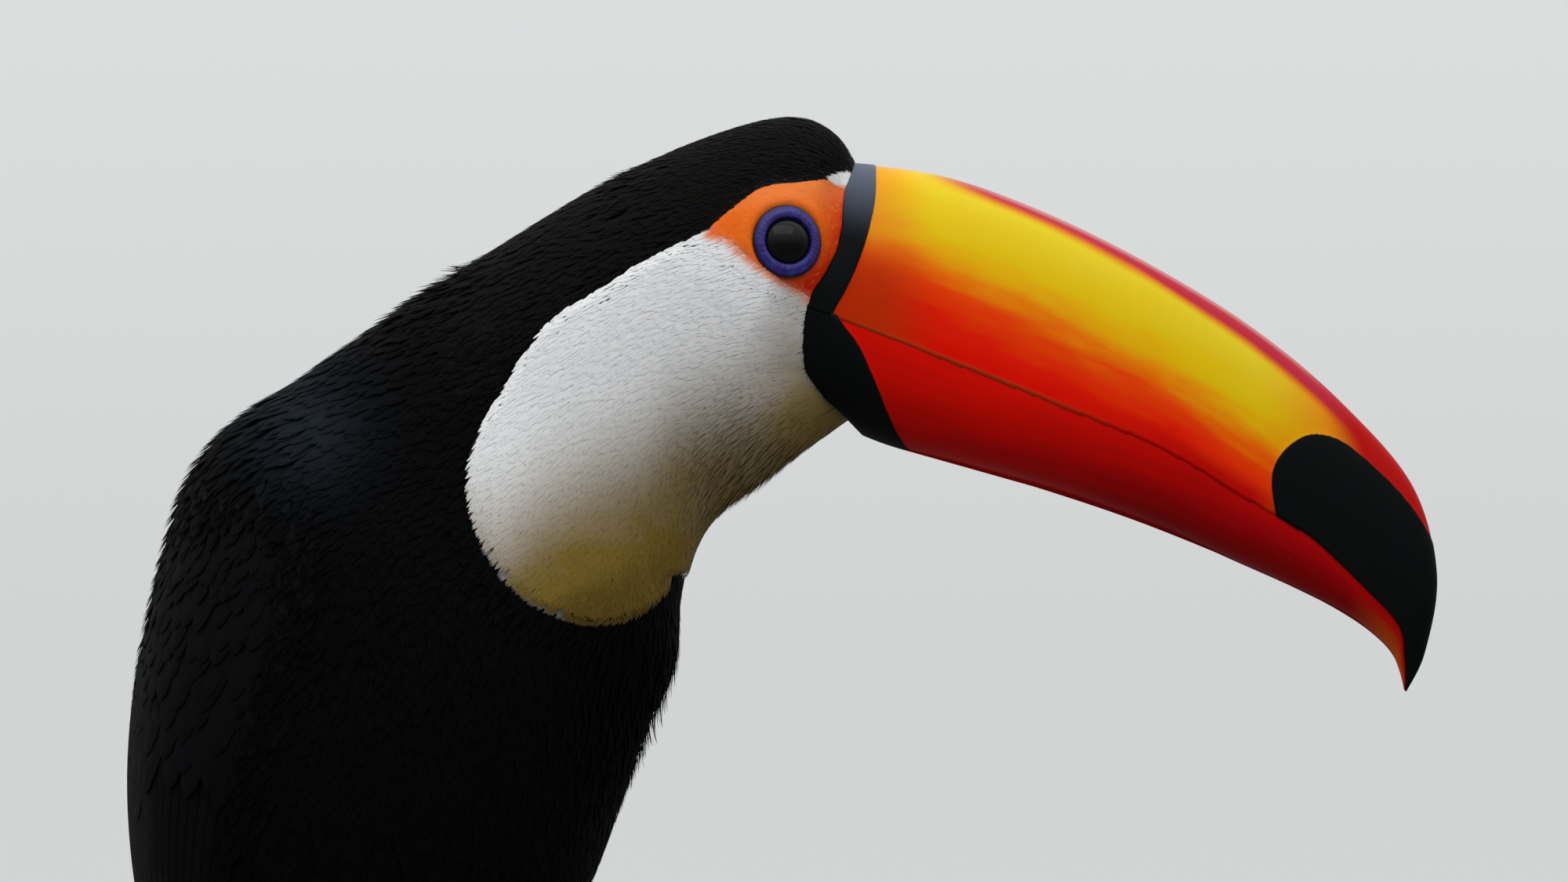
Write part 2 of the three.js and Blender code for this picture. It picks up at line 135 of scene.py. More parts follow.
@dataclass(frozen=True)
class RailSurface:
    """Rings laid between an upper and a lower rail in the bird's plane of symmetry.

    The widest line runs along the middle rail, and turn starts at the upper rail.
    """

    upper: Points
    lower: Points
    half: Sequence[float]
    heading: float
    squareness: float
    middle: Optional[Points] = None

    def at(self, t: Array, turn: Array, grow: Numbers = 0.0) -> Array:
        """Finds points on the surface.

        Args:
            t: Shares of the way along the rails.
            turn: Angles round the section.
            grow: Distance outwards.

        Returns:
            The points.
        """
        t, turn, grow = np.broadcast_arrays(t, turn, grow)
        top, bottom = spline(self.upper, t), spline(self.lower, t)
        mid = (top + bottom) / 2 if self.middle is None else spline(self.middle, t)
        rise = squared(np.cos(turn), self.squareness)
        edge = np.where(rise[..., None] > 0, top, bottom)
        span = np.maximum(length_of(edge - mid), 1e-6)
        flat = mid + (edge - mid) * (np.abs(rise) * (span + grow) / span)[..., None]
        wide = self.heading * squared(np.sin(turn), self.squareness)
        return np.stack([flat[..., 0], wide * (spline(self.half, t) + grow), flat[..., 1]], axis=-1)


@dataclass(frozen=True)
class TubeSurface:
    """A round limb along a path, with a radius at each point of it."""

    path: Points
    radii: Sequence[float]
    flat: float = 1.0
    ends: float = 0.1
    upright: bool = False

    def at(self, t: Array, turn: Array, grow: Numbers = 0.0) -> Array:
        """Finds points on the limb.

        Args:
            t: Shares of the way along the path.
            turn: Angles round it, from its upper or front side.
            grow: Distance outwards.

        Returns:
            The points.
        """
        t, turn, grow = np.broadcast_arrays(t, turn, grow)
        ahead, behind = (spline(self.path, np.clip(t + step, 0, 1)) for step in (0.01, -0.01))
        along = unit(ahead - behind)
        reference = [-1.0, 0.0, 0.0] if self.upright else [0.0, 0.0, 1.0]
        side = unit(np.cross(np.broadcast_to(reference, along.shape), along))
        side = -side if self.upright else side
        ring = np.cos(turn)[..., None] * np.cross(along, side) + self.flat * np.sin(turn)[..., None] * side
        radius = (spline(self.radii, t) + grow) * self.rounded(t) * self.rounded(1 - t)
        return spline(self.path, t) + radius[..., None] * ring

    def rounded(self, distance: Array) -> Array:
        """The share of the full section left near an end."""
        short = 1 - np.minimum(distance / self.ends, 1)
        return np.maximum(0.02, np.sqrt(np.maximum(1 - short * short, 0)))


def lie_on(surface: Surface, t: Array, turn: Array, grow: Array) -> tuple[Array, Array]:
    """Reads a surface's own directions.

    Args:
        surface: The surface to read.
        t: Shares of the way along it.
        turn: Angles round it.
        grow: Distance outwards.

    Returns:
        The places and which way is outwards there.
    """
    forward = surface.at(t + 2e-3, turn, grow) - surface.at(t - 2e-3, turn, grow)
    around = surface.at(t, turn + 0.02, grow) - surface.at(t, turn - 0.02, grow)
    place = surface.at(t, turn, grow)
    normal = unit(np.cross(around, forward))
    outwards = np.sum(normal * (surface.at(t, turn, grow + 1.0) - place), axis=-1)
    return place, normal * np.sign(np.median(outwards))


@dataclass(frozen=True)
class Outline:
    """A closed region of the bird's side view, in X and Z."""

    points: Points
    rounded: bool = True
    cell: float = 0.5
    reach: float = 45.0

    @cached_property
    def table(self) -> tuple[Array, Array]:
        """Measures depths inside the region once, on a fine net.

        Returns:
            The depths, and the net's lowest place.
        """
        corners = np.asarray(self.points, dtype=float)
        if self.rounded:
            loop = np.concatenate([corners[-2:], corners, corners[:3]])
            span = len(loop) - 1
            steps = np.arange(2 / span, (len(corners) + 2) / span - 1e-9, 1 / (span * 6))
            corners = spline(loop, steps)
        low = corners.min(axis=0) - self.reach
        steps = np.ceil((corners.max(axis=0) + self.reach - low) / self.cell).astype(int) + 1
        x, z = (low[axis] + self.cell * np.arange(steps[axis]) for axis in (0, 1))
        spots = np.stack([np.repeat(x, len(z)), np.tile(z, len(x))], axis=-1)
        nearest = np.full(len(spots), np.inf)
        inside = np.zeros(len(spots), dtype=bool)
        for start, end in zip(corners, np.roll(corners, -1, axis=0)):
            line = end - start
            share = np.clip(((spots - start) @ line) / max(line @ line, 1e-9), 0, 1)
            away = spots - start - share[:, None] * line
            nearest = np.minimum(nearest, np.einsum("ij,ij->i", away, away))
            if start[1] != end[1]:
                spans = (start[1] > spots[:, 1]) != (end[1] > spots[:, 1])
                crossing = start[0] + (spots[:, 1] - start[1]) * line[0] / line[1]
                inside ^= spans & (spots[:, 0] < crossing)
        return (np.where(inside, 1.0, -1.0) * np.sqrt(nearest)).reshape(steps), low

    def within(self, places: Array) -> Array:
        """Measures how deep inside the region places lie.

        Args:
            places: The places.

        Returns:
            Depths, negative outside.
        """
        table, low = self.table
        u, v = (np.clip((places[..., axis] - low[i]) / self.cell, 0, table.shape[i] - 1.001)
                for i, axis in enumerate((0, 2)))
        i, j = u.astype(int), v.astype(int)
        a, b = u - i, v - j
        near = table[i, j] * (1 - a) + table[i + 1, j] * a
        far = table[i, j + 1] * (1 - a) + table[i + 1, j + 1] * a
        return near * (1 - b) + far * b


# ---- Meshes ----


@dataclass
class MeshBuilder:
    """Gathers points, faces, maps and surface values, and makes one piece of them."""

    name: str
    points: list[Array] = field(default_factory=list)
    corners: list[Array] = field(default_factory=list)
    sizes: list[Array] = field(default_factory=list)
    maps: dict[str, list[Array]] = field(default_factory=dict)
    values: dict[str, list[Array]] = field(default_factory=dict)
    facings: list[Array] = field(default_factory=list)
    count: int = 0

    def add(
        self, points: Array, faces: Sequence[Array], maps: dict[str, Array], values: dict[str, Array],
        facing: Optional[Array] = None,
    ) -> None:
        """Adds some points and the faces between them.

        Args:
            points: The points, one to a row.
            faces: Triangles and quads between these points.
            maps: UV maps, by point or by face corner.
            values: Surface values, by point.
            facing: The way each point is shaded, in a coat of feathers.
        """
        flat = np.concatenate([block.ravel() for block in faces])
        self.points.append(points)
        self.corners.append(flat + self.count)
        self.sizes.append(np.concatenate([np.full(len(block), block.shape[1]) for block in faces]))
        for name, places in maps.items():
            self.maps.setdefault(name, []).append(places if len(places) == len(flat) else places[flat])
        for name, numbers in values.items():
            self.values.setdefault(name, []).append(np.ravel(numbers))
        if facing is not None:
            self.facings.append(facing)
        self.count += len(points)

    def grid(self, points: Array, strip: "Strip", values: dict[str, Array]) -> None:
        """Adds a tube of rings, closed round itself and capped at both ends.

        Args:
            points: The points, as rings by columns by 3.
            strip: The part of the bake map that it takes.
            values: Surface values, as rings by columns.
        """
        rings, columns = points.shape[:2]
        row, column = np.divmod(np.arange((rings - 1) * columns), columns)
        first, last = row * columns + column, row * columns + (column + 1) % columns
        quads = np.stack([first, last, last + columns, first + columns], axis=-1)
        (low_u, low_v), (high_u, high_v) = strip.low, strip.high
        u = low_u + (high_u - low_u) * np.stack([column, column + 1, column + 1, column], axis=-1) / columns
        v = low_v + (high_v - low_v) * np.stack([row, row, row + 1, row + 1], axis=-1) / (rings - 1)
        around = np.arange(columns)
        beside, end = (around + 1) % columns, (rings - 1) * columns
        middle = np.full(columns, rings * columns)
        last_cap = np.stack([end + around, end + beside, middle + 1], axis=-1)
        caps = np.concatenate([np.stack([beside, around, middle], axis=-1), last_cap])
        cap_u = low_u + (high_u - low_u) * np.stack([around + 1, around, around + 0.5], axis=-1) / columns
        below = np.tile([low_v, low_v, low_v - CAP_STRIP], (columns, 1))
        above = np.tile([high_v, high_v, high_v + CAP_STRIP], (columns, 1))
        places = [np.stack([u, v], axis=-1), np.concatenate([
            np.stack([cap_u, below], axis=-1), np.stack([cap_u[:, [1, 0, 2]], above], axis=-1),
        ])]
        some = points[1:-1:8]
        facing = np.cross(np.roll(points, -1, axis=1)[1:-1:8] - some, points[2::8][: len(some)] - some)
        if np.sum(facing * unit(some - some.mean(axis=1, keepdims=True))) < 0:
            quads, caps = quads[:, ::-1], caps[:, ::-1]
            places = [part[:, ::-1] for part in places]
        full = {
            name: np.append(np.ravel(numbers), [np.mean(numbers[0]), np.mean(numbers[-1])])
            for name, numbers in values.items()
        }
        every = np.concatenate([points.reshape(-1, 3), [points[0].mean(axis=0), points[-1].mean(axis=0)]])
        spots = np.concatenate([part.reshape(-1, 2) for part in places])
        self.add(every, [quads, caps], {"OFBake": spots}, full)

    def make(self, sharp: Optional[str] = None) -> Piece:
        """Makes the piece.

        Args:
            sharp: A surface value; edges stay sharp where it is above a half at both ends.

        Returns:
            The piece.
        """
        points = np.concatenate(self.points) - np.array([MIDDLE_X, 0.0, 0.0])
        points[:, 2] = np.maximum(points[:, 2], 0.0)
        corners, sizes = np.concatenate(self.corners), np.concatenate(self.sizes)
        mesh = bpy.data.meshes.new(self.name)
        mesh.vertices.add(len(points))
        mesh.vertices.foreach_set("co", (points * MM).astype(np.float32).ravel())
        mesh.loops.add(len(corners))
        mesh.loops.foreach_set("vertex_index", corners.astype(np.int32))
        mesh.polygons.add(len(sizes))
        mesh.polygons.foreach_set("loop_start", (np.cumsum(sizes) - sizes).astype(np.int32))
        mesh.polygons.foreach_set("use_smooth", np.ones(len(sizes), dtype=bool))
        for name, places in self.maps.items():
            layer = mesh.uv_layers.new(name=name)
            layer.data.foreach_set("uv", np.concatenate(places).astype(np.float32).ravel())
        for name, numbers in self.values.items():
            store = mesh.attributes.new(name, "FLOAT", "POINT")
            store.data.foreach_set("value", np.concatenate(numbers).astype(np.float32))
        mesh.update(calc_edges=True)
        if sharp:
            marked = np.concatenate(self.values[sharp]) > 0.5
            pairs = np.empty(len(mesh.edges) * 2, dtype=np.int32)
            mesh.edges.foreach_get("vertices", pairs)
            store = mesh.attributes.new("sharp_edge", "BOOLEAN", "EDGE")
            store.data.foreach_set("value", marked[pairs].reshape(-1, 2).all(axis=1))
        if self.facings:
            mesh.normals_split_custom_set_from_vertices(np.concatenate(self.facings).astype(np.float32))
        piece = bpy.data.objects.new(self.name, mesh)
        bpy.context.scene.collection.objects.link(piece)
        return piece


def dress(piece: Piece, material: Material, slot: str, nodes: Sequence[str] = ()) -> Piece:
    """Gives a piece its finish and ties it to the frame.

    Args:
        piece: The piece.
        material: Its finish.
        slot: Not used.
        nodes: The frame's nodes that it stands for.

    Returns:
        The same piece.
    """
    piece.data.materials.append(material)
    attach(piece, BODY)
    if nodes:
        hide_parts(*nodes)
    return piece


# ---- Shader nets ----


class Wire:
    """A socket of a shader net that can be reckoned with like a number."""

    def __init__(self, net: "Net", socket: bpy.types.NodeSocket) -> None:
        """Wraps one output socket."""
        self.net, self.socket = net, socket

    def __add__(self, other: "Value") -> "Wire":
        """This plus another."""
        return self.net.maths("ADD", self, other)

    def __sub__(self, other: "Value") -> "Wire":
        """This less another."""
        return self.net.maths("SUBTRACT", self, other)

    def __rsub__(self, other: "Value") -> "Wire":
        """Another less this."""
        return self.net.maths("SUBTRACT", other, self)

    def __mul__(self, other: "Value") -> "Wire":
        """This times another."""
        return self.net.maths("MULTIPLY", self, other)

    __radd__ = __add__
    __rmul__ = __mul__

    def rise(self, low: float, high: float, start: float = 0.0, end: float = 1.0) -> "Wire":
        """Eases from a start where this is low to an end where it is high."""
        sockets = {"Value": self, "From Min": low, "From Max": high, "To Min": start, "To Max": end}
        return self.net.node("ShaderNodeMapRange", {"interpolation_type": "SMOOTHSTEP"}, sockets)


Value = Union[Wire, float, tuple]


class Net:
    """The shader net of one material, or of the world."""

    def __init__(self, name: str, world: bool = False) -> None:
        """Starts an empty net.

        Args:
            name: The name of the material or world.
            world: Whether it is a world.
        """
        self.owner = (bpy.data.worlds if world else bpy.data.materials).new(name)
        self.owner.use_nodes = True
        self.tree = self.owner.node_tree
        self.tree.nodes.clear()

    def node(self, kind: str, settings: dict, sockets: dict, output: Union[int, str] = 0) -> Wire:
        """Adds a node.

        Args:
            kind: The node's type.
            settings: Properties, set before its inputs; "stops" are a ramp's.
            sockets: Values or wires for its inputs, by name or number.
            output: The output socket wanted.

        Returns:
            The wanted output.
        """
        made = self.tree.nodes.new(kind)
        for name, setting in settings.items():
            if name == "stops":
                self.set_stops(made.color_ramp, setting)
            else:
                setattr(made, name, setting)
        for name, value in sockets.items():
            if isinstance(value, Wire):
                self.tree.links.new(value.socket, made.inputs[name])
            elif isinstance(value, tuple) and made.inputs[name].type == "RGBA":
                made.inputs[name].default_value = (*value, 1.0)
            else:
                made.inputs[name].default_value = value
        return Wire(self, made.outputs[output])

    @staticmethod
    def set_stops(ramp: bpy.types.ColorRamp, stops: Sequence[tuple[float, Colour]]) -> None:
        """Puts a ramp's colours where they belong.

        Args:
            ramp: The ramp, new and with two stops.
            stops: Where each colour goes.
        """
        for extra in stops[2:]:
            ramp.elements.new(extra[0])
        for element, (position, colour) in zip(ramp.elements, stops):
            element.position, element.color = position, (*colour, 1.0)

    def maths(self, operation: str, first: Value, second: Value) -> Wire:
        """One step of arithmetic."""
        return self.node("ShaderNodeMath", {"operation": operation}, {0: first, 1: second})

    def value(self, name: str) -> Wire:
        """A surface value stored on the mesh."""
        return self.node("ShaderNodeAttribute", {"attribute_name": name}, {}, "Fac")

    def place(self) -> Wire:
        """Where a point of the object lies, in metres."""
        return self.node("ShaderNodeTexCoord", {}, {}, "Object")

    def parts(self, vector: Wire) -> list[Wire]:
        """The three numbers of a vector."""
        split = self.node("ShaderNodeSeparateXYZ", {}, {"Vector": vector}).socket.node
        return [Wire(self, output) for output in split.outputs]

    def noise(self, scale: float, detail: float, vector: Optional[Wire] = None) -> Wire:
        """Cloudy noise over the object, in features per metre unless a vector is given."""
        sockets = {"Vector": vector or self.place(), "Scale": scale, "Detail": detail}
        return self.node("ShaderNodeTexNoise", {}, sockets)

    def blend(self, factor: Value, first: Union[Wire, Colour], second: Union[Wire, Colour]) -> Wire:
        """Mixes two colours, all of the first at 0 and of the second at 1."""
        return self.node("ShaderNodeMix", {"data_type": "RGBA"}, {0: factor, 6: first, 7: second}, 2)

    def joined(self, x: Value, y: Value, z: Value) -> Wire:
        """Three numbers as one vector."""
        return self.node("ShaderNodeCombineXYZ", {}, {"X": x, "Y": y, "Z": z})

    def bump(self, height: Wire, distance: float, strength: float, under: Optional[Wire] = None) -> Wire:
        """Raises the surface by a height from 0 to 1.

        Args:
            height: The height.
            distance: What 1 stands for, in millimetres.
            strength: The share of the effect.
            under: A bump that this one lies on.

        Returns:
            The normal.
        """
        sockets = {"Height": height, "Distance": distance * MM, "Strength": strength}
        return self.node("ShaderNodeBump", {}, {**sockets, **({"Normal": under} if under else {})})

    def finish(self, sockets: dict, world: bool = False) -> Union[Material, bpy.types.World]:
        """Closes the net.

        Args:
            sockets: Values or wires for the shader.
            world: Whether the net is a world's.

        Returns:
            The material or world.
        """
        end = self.tree.nodes.new(f"ShaderNodeOutput{'World' if world else 'Material'}")
        shader = self.node("ShaderNodeBackground" if world else "ShaderNodeBsdfPrincipled", {}, sockets)
        self.tree.links.new(shader.socket, end.inputs["Surface"])
        return self.owner


# ---- The body under the coat ----

# stations from the face to the tail: on the back, on the front, and half the width
STATIONS = (
    ((103, 311), (105, 262), 19),  # lores, inside the bill
    ((92.8, 329), (94, 255), 22),  # brow
    ((75, 332.3), (77, 243), 28.5),  # crown
    ((37.5, 318), (61, 230), 32),  # nape
    ((-3.5, 293.2), (54.2, 213), 37),  # hind neck
    ((-40.5, 268.7), (52.4, 194), 45),  # mantle
    ((-68.5, 246), (45.4, 178), 52),  # shoulder
    ((-81, 209), (39.6, 161), 56),  # breast
    ((-86, 171), (31.4, 139), 56.5),  # belly
    ((-84, 136), (18, 111), 52.5),  # lower back
    ((-76.5, 108), (-9, 79), 42),  # rump
    ((-87, 90), (-46, 62), 29),  # vent
    ((-107, 76), (-86, 50.5), 22.5),  # tail coverts
    ((-131, 58.5), (-124, 46.5), 17),  # end of the coverts
)
FACE_LINE = (
    (98.6, 324), (95.3, 314), (94.8, 305), (93.6, 299), (90.6, 293), (87, 288),
    (85.4, 282), (84.8, 275), (85.4, 268), (90, 261.5), (96, 256.2), (100, 252),
)
CHEEK_LINE = ((90, 285.6), (84, 288.4), (78, 291.6), (72, 296), (66, 301))  # from bill to behind the eye
EYE_PLACE = (80.9, 26.2, 300.8)
EYE_FORWARD, EYE_UP = math.radians(13), math.radians(9)


class Tract(Enum):
    """The kinds of surface that the body is marked out in."""

    BLACK = 0
    BIB = 1
    BARE = 2
    VENT = 3
    RUMP_WHITE = 4
    BROW_SPOT = 5


class Markings:
    """Where the bird changes colour, as regions of its side view."""

    bare = Outline((
        (61, 303.4), (68, 310), (75, 314.6), (84, 315.8), (93, 316.8), (104, 316), (104, 290), *CHEEK_LINE,
    ))
    bib = Outline((
        (61, 303.4), (52, 299.4), (40, 293), (33, 288.4), (24, 283), (16, 275), (10, 265), (4, 255),
        (1, 247), (0, 239), (2, 229), (8, 218), (16, 210), (26, 205), (34, 203.6), (44, 206),
        (51, 212), (53.6, 216), (75, 206), (120, 240), (106, 284), *CHEEK_LINE,
    ))
    vent = Outline(((-38, 74), (-60, 70), (-90, 64), (-128, 52), (-128, 40), (-60, 50), (-34, 60)))
    rump = Outline((
        (-74, 100), (-84, 98), (-110, 80), (-134, 62), (-131, 54), (-100, 70), (-84, 80), (-72, 88),
    ))
    spot = Outline(((90.8, 316.9), (93.4, 318.4), (96.8, 318.9), (97.6, 316.6), (96.0, 314.0), (94.4, 314.6)))
    ahead = Outline((*FACE_LINE, (130, 250), (160, 290), (130, 330)), rounded=False)

    def tract(self, places: Array) -> Array:
        """Says which tract some places belong to.

        Args:
            places: The places.

        Returns:
            The tracts' numbers.
        """
        found = np.full(places.shape[:-1], Tract.BLACK.value)
        for outline, tract in (
            (self.vent, Tract.VENT), (self.rump, Tract.RUMP_WHITE), (self.bib, Tract.BIB),
            (self.bare, Tract.BARE), (self.spot, Tract.BROW_SPOT),
        ):
            found = np.where(outline.within(places) > 0, tract.value, found)
        return found


class Body:
    """The bird's outer form from face to tail coverts, which skin and feathers share."""

    marks = Markings()
    depths = (0.6, 0.7, 0.9, 1.1, 1.4, 1.8, 2.2, 2.5, 2.7, 2.7, 2.6, 2.2, 1.8, 1.2)  # of coat, by station
    cheek_heights = (255, 262, 268, 275, 282, 288, 293, 299, 305, 314, 324)
    cheeks = (0.2, 0.22, 0.24, 0.2, 0.17, 0.14, 0.13, 0.13, 0.15, 0.22, 0.24)  # width lost at the bill
    bib_rise = 0.9  # how far the bib stands out over the black

    def __init__(self) -> None:
        """Lays the outer form along the stations."""
        back, front, half = zip(*STATIONS)
        self.form = RailSurface(back, front, half, -1.0, 2.15)

    def at(self, t: Array, turn: Array, grow: Numbers = 0.0) -> Array:
        """Finds points on the outer form, drawn in towards the bill at the face.

        Args:
            t: Shares of the way from face to tail.
            turn: Angles from the back, positive on the bird's right.
            grow: Distance outwards.

        Returns:
            The points.
        """
        plain = self.form.at(t, turn)
        swell = smooth(self.marks.bib.within(plain), -0.5, 3.0)
        swell = swell * smooth(-self.marks.bare.within(plain), 0.5, 12.0)
        points = self.form.at(t, turn, grow + self.bib_rise * swell)
        cheek = np.interp(points[..., 2], self.cheek_heights, self.cheeks)
        begins = np.interp(points[..., 2], (258, 302), (-20, -8))
        points[..., 1] *= 1 - cheek * smooth(self.marks.ahead.within(points), begins, 0.2)
        return points

    def depth(self, t: Array, places: Array) -> Array:
        """How deep the coat is at some places, 0 on bare skin."""
        deep = np.interp(t, np.linspace(0, 1, len(self.depths)), self.depths)
        return deep * smooth(-self.marks.bare.within(places), -0.6, 9.0)

    def level(self, turn: Array, height: Array) -> Array:
        """Finds where the trunk reaches a height.

        Args:
            turn: Angles from the back.
            height: Heights above the floor.

        Returns:
            Shares of the way along the form.
        """
        turn, height = np.broadcast_arrays(turn, height)
        low, high = np.full(turn.shape, 0.25), np.ones(turn.shape)
        for _ in range(22):
            middle = (low + high) / 2
            above = self.form.at(middle, turn)[..., 2] > height
            low, high = np.where(above, middle, low), np.where(above, high, middle)
        return (low + high) / 2


class EyeSeat:
    """Where an eye sits, and the directions across its opening."""

    def __init__(self, side: float) -> None:
        """Sets the seat.

        Args:
            side: -1 on the right, 1 on the left.
        """
        self.place = np.array(EYE_PLACE) * (1.0, side, 1.0)
        outward = [math.sin(EYE_FORWARD), side * math.cos(EYE_FORWARD), math.sin(EYE_UP)]
        self.outward = unit(np.array(outward))
        self.across = unit(np.cross([0.0, 0.0, 1.0], self.outward)) * -side
        self.up = np.cross(self.across, self.outward) * side

    def polar(self, radius: Array, angle: Array, out: Array) -> Array:
        """Points round the eye, by distance, angle from the bill towards the crown and height."""
        flat = np.cos(angle)[..., None] * self.across + np.sin(angle)[..., None] * self.up
        return self.place + radius[..., None] * flat + out[..., None] * self.outward


# ---- Skin ----


@dataclass(frozen=True)
class Strip:
    """A rectangle of a bake map, from its lowest place to its highest."""

    low: Pair
    high: Pair

    def place(self, around: Array, along: Array) -> Array:
        """Turns shares round and along a surface into places on the map."""
        u = self.low[0] + (self.high[0] - self.low[0]) * (around % 1.0)
        return np.stack([u, self.low[1] + (self.high[1] - self.low[1]) * along], axis=-1)


BODY_STRIP = Strip((0.004, 0.30), (0.996, 0.99))
WHOLE_STRIP = Strip((0.02, 0.02), (0.98, 0.98))
BILL_STRIP = Strip((0.01, 0.02), (0.99, 0.98))
HEAD_SHARE, HEAD_END = 0.5, 0.235  # half the rings lie on the head, whose end is at this share


def limb_strip(index: int) -> Strip:
    """The narrow stretch of the map kept for one part of a leg."""
    width = 1 / 14
    return Strip((index * width + 0.003, 0.012), ((index + 1) * width - 0.003, 0.285))


def along_map(t: Array) -> Array:
    """The share of the body's rings that lie before a place."""
    return np.interp(t, [0, HEAD_END, 1], [0, HEAD_SHARE, 1])


@dataclass
class Legs:
    """The sizes of thighs, shanks, toes and claws."""

    paths: dict[str, Points] = field(default_factory=lambda: {
        "thigh": ((-8, 20, 116), (-17, 25, 88), (-24, 28, 64), (-26, 28, 52)),
        "shank": (
            (-26, 28, 56), (-25, 28, 47), (-13, 28, 29), (-2, 28, 13.5), (0.5, 28, 7.5), (1.2, 28, -0.8),
        ),
    })
    radii: dict[str, Sequence[float]] = field(default_factory=lambda: {
        "thigh": (16, 19, 11.5, 5.4), "shank": (3.4, 4.3, 3.1, 3.6, 5.2, 5),
    })
    toes: dict[str, tuple[float, float, float, int]] = field(default_factory=lambda: dict(zip(TOES, (
        (13, 41, 3.4, 3), (-15, 30, 3.1, 2), (160, 38, 3.3, 3), (-162, 20, 3.0, 1),
    ))))  # heading in degrees, length, radius and joint pads
    ankle_y: float = 28.0
    sole: float = 0.5
    narrowing: float = 0.22
    pad_swell: float = 0.1
    claw_length: float = 13.0
    claw_radii: Sequence[float] = (2.3, 1.95, 1.3, 0.3)
    claw_flat: float = 0.72

    def limb(self, part: str, side: float) -> TubeSurface:
        """The feathered thigh or the bare shank of one side."""
        path = [(x, y * side, z) for x, y, z in self.paths[part]]
        return TubeSurface(path, self.radii[part], upright=True)

    def toe(self, name: str, side: float) -> TubeSurface:
        """Lays a toe along the floor.

        Args:
            name: The toe's name.
            side: -1 on the right, 1 on the left.

        Returns:
            The toe's surface.
        """
        _, length, radius, joints = self.toes[name]
        shares = np.array([0.0, 0.2, 0.6, 1.0])
        height = self.axis(radius, shares)
        height[:2] = 6.5, height[1] + 0.6
        path = [self.on_toe(name, side, length * share, rise) for share, rise in zip(shares, height)]
        at = np.linspace(0, 1, joints * 4 + 1)
        swell = 1 - self.pad_swell * (0.5 - 0.5 * np.cos(at * joints * TURN))
        return TubeSurface(path, tuple(radius * (1 - self.narrowing * at) * swell), ends=0.09)

    def claw(self, name: str, side: float) -> TubeSurface:
        """Curves the claw at the end of a toe.

        Args:
            name: The toe's name.
            side: -1 on the right, 1 on the left.

        Returns:
            The claw's surface.
        """
        _, length, radius, _ = self.toes[name]
        path = [
            self.on_toe(name, side, length - 2.4 + self.claw_length * share, self.axis(radius, 1.0) + rise)
            for share, rise in ((0.0, 0.4), (0.4, 1.6), (0.8, 0.5), (1.0, -1.6))
        ]
        return TubeSurface(path, self.claw_radii, flat=self.claw_flat, ends=0.05)

    def axis(self, radius: float, share: Numbers) -> Numbers:
        """How high a toe's middle lies above the floor, a share of the way along it."""
        return radius * (1 - self.narrowing * share) * math.cos(math.pi / 8) - self.sole

    def on_toe(self, name: str, side: float, along: float, height: float) -> Place:
        """A point above the line that a toe follows on the floor."""
        heading = math.radians(self.toes[name][0]) * side
        return (math.cos(heading) * along, self.ankle_y * side + math.sin(heading) * along, height)


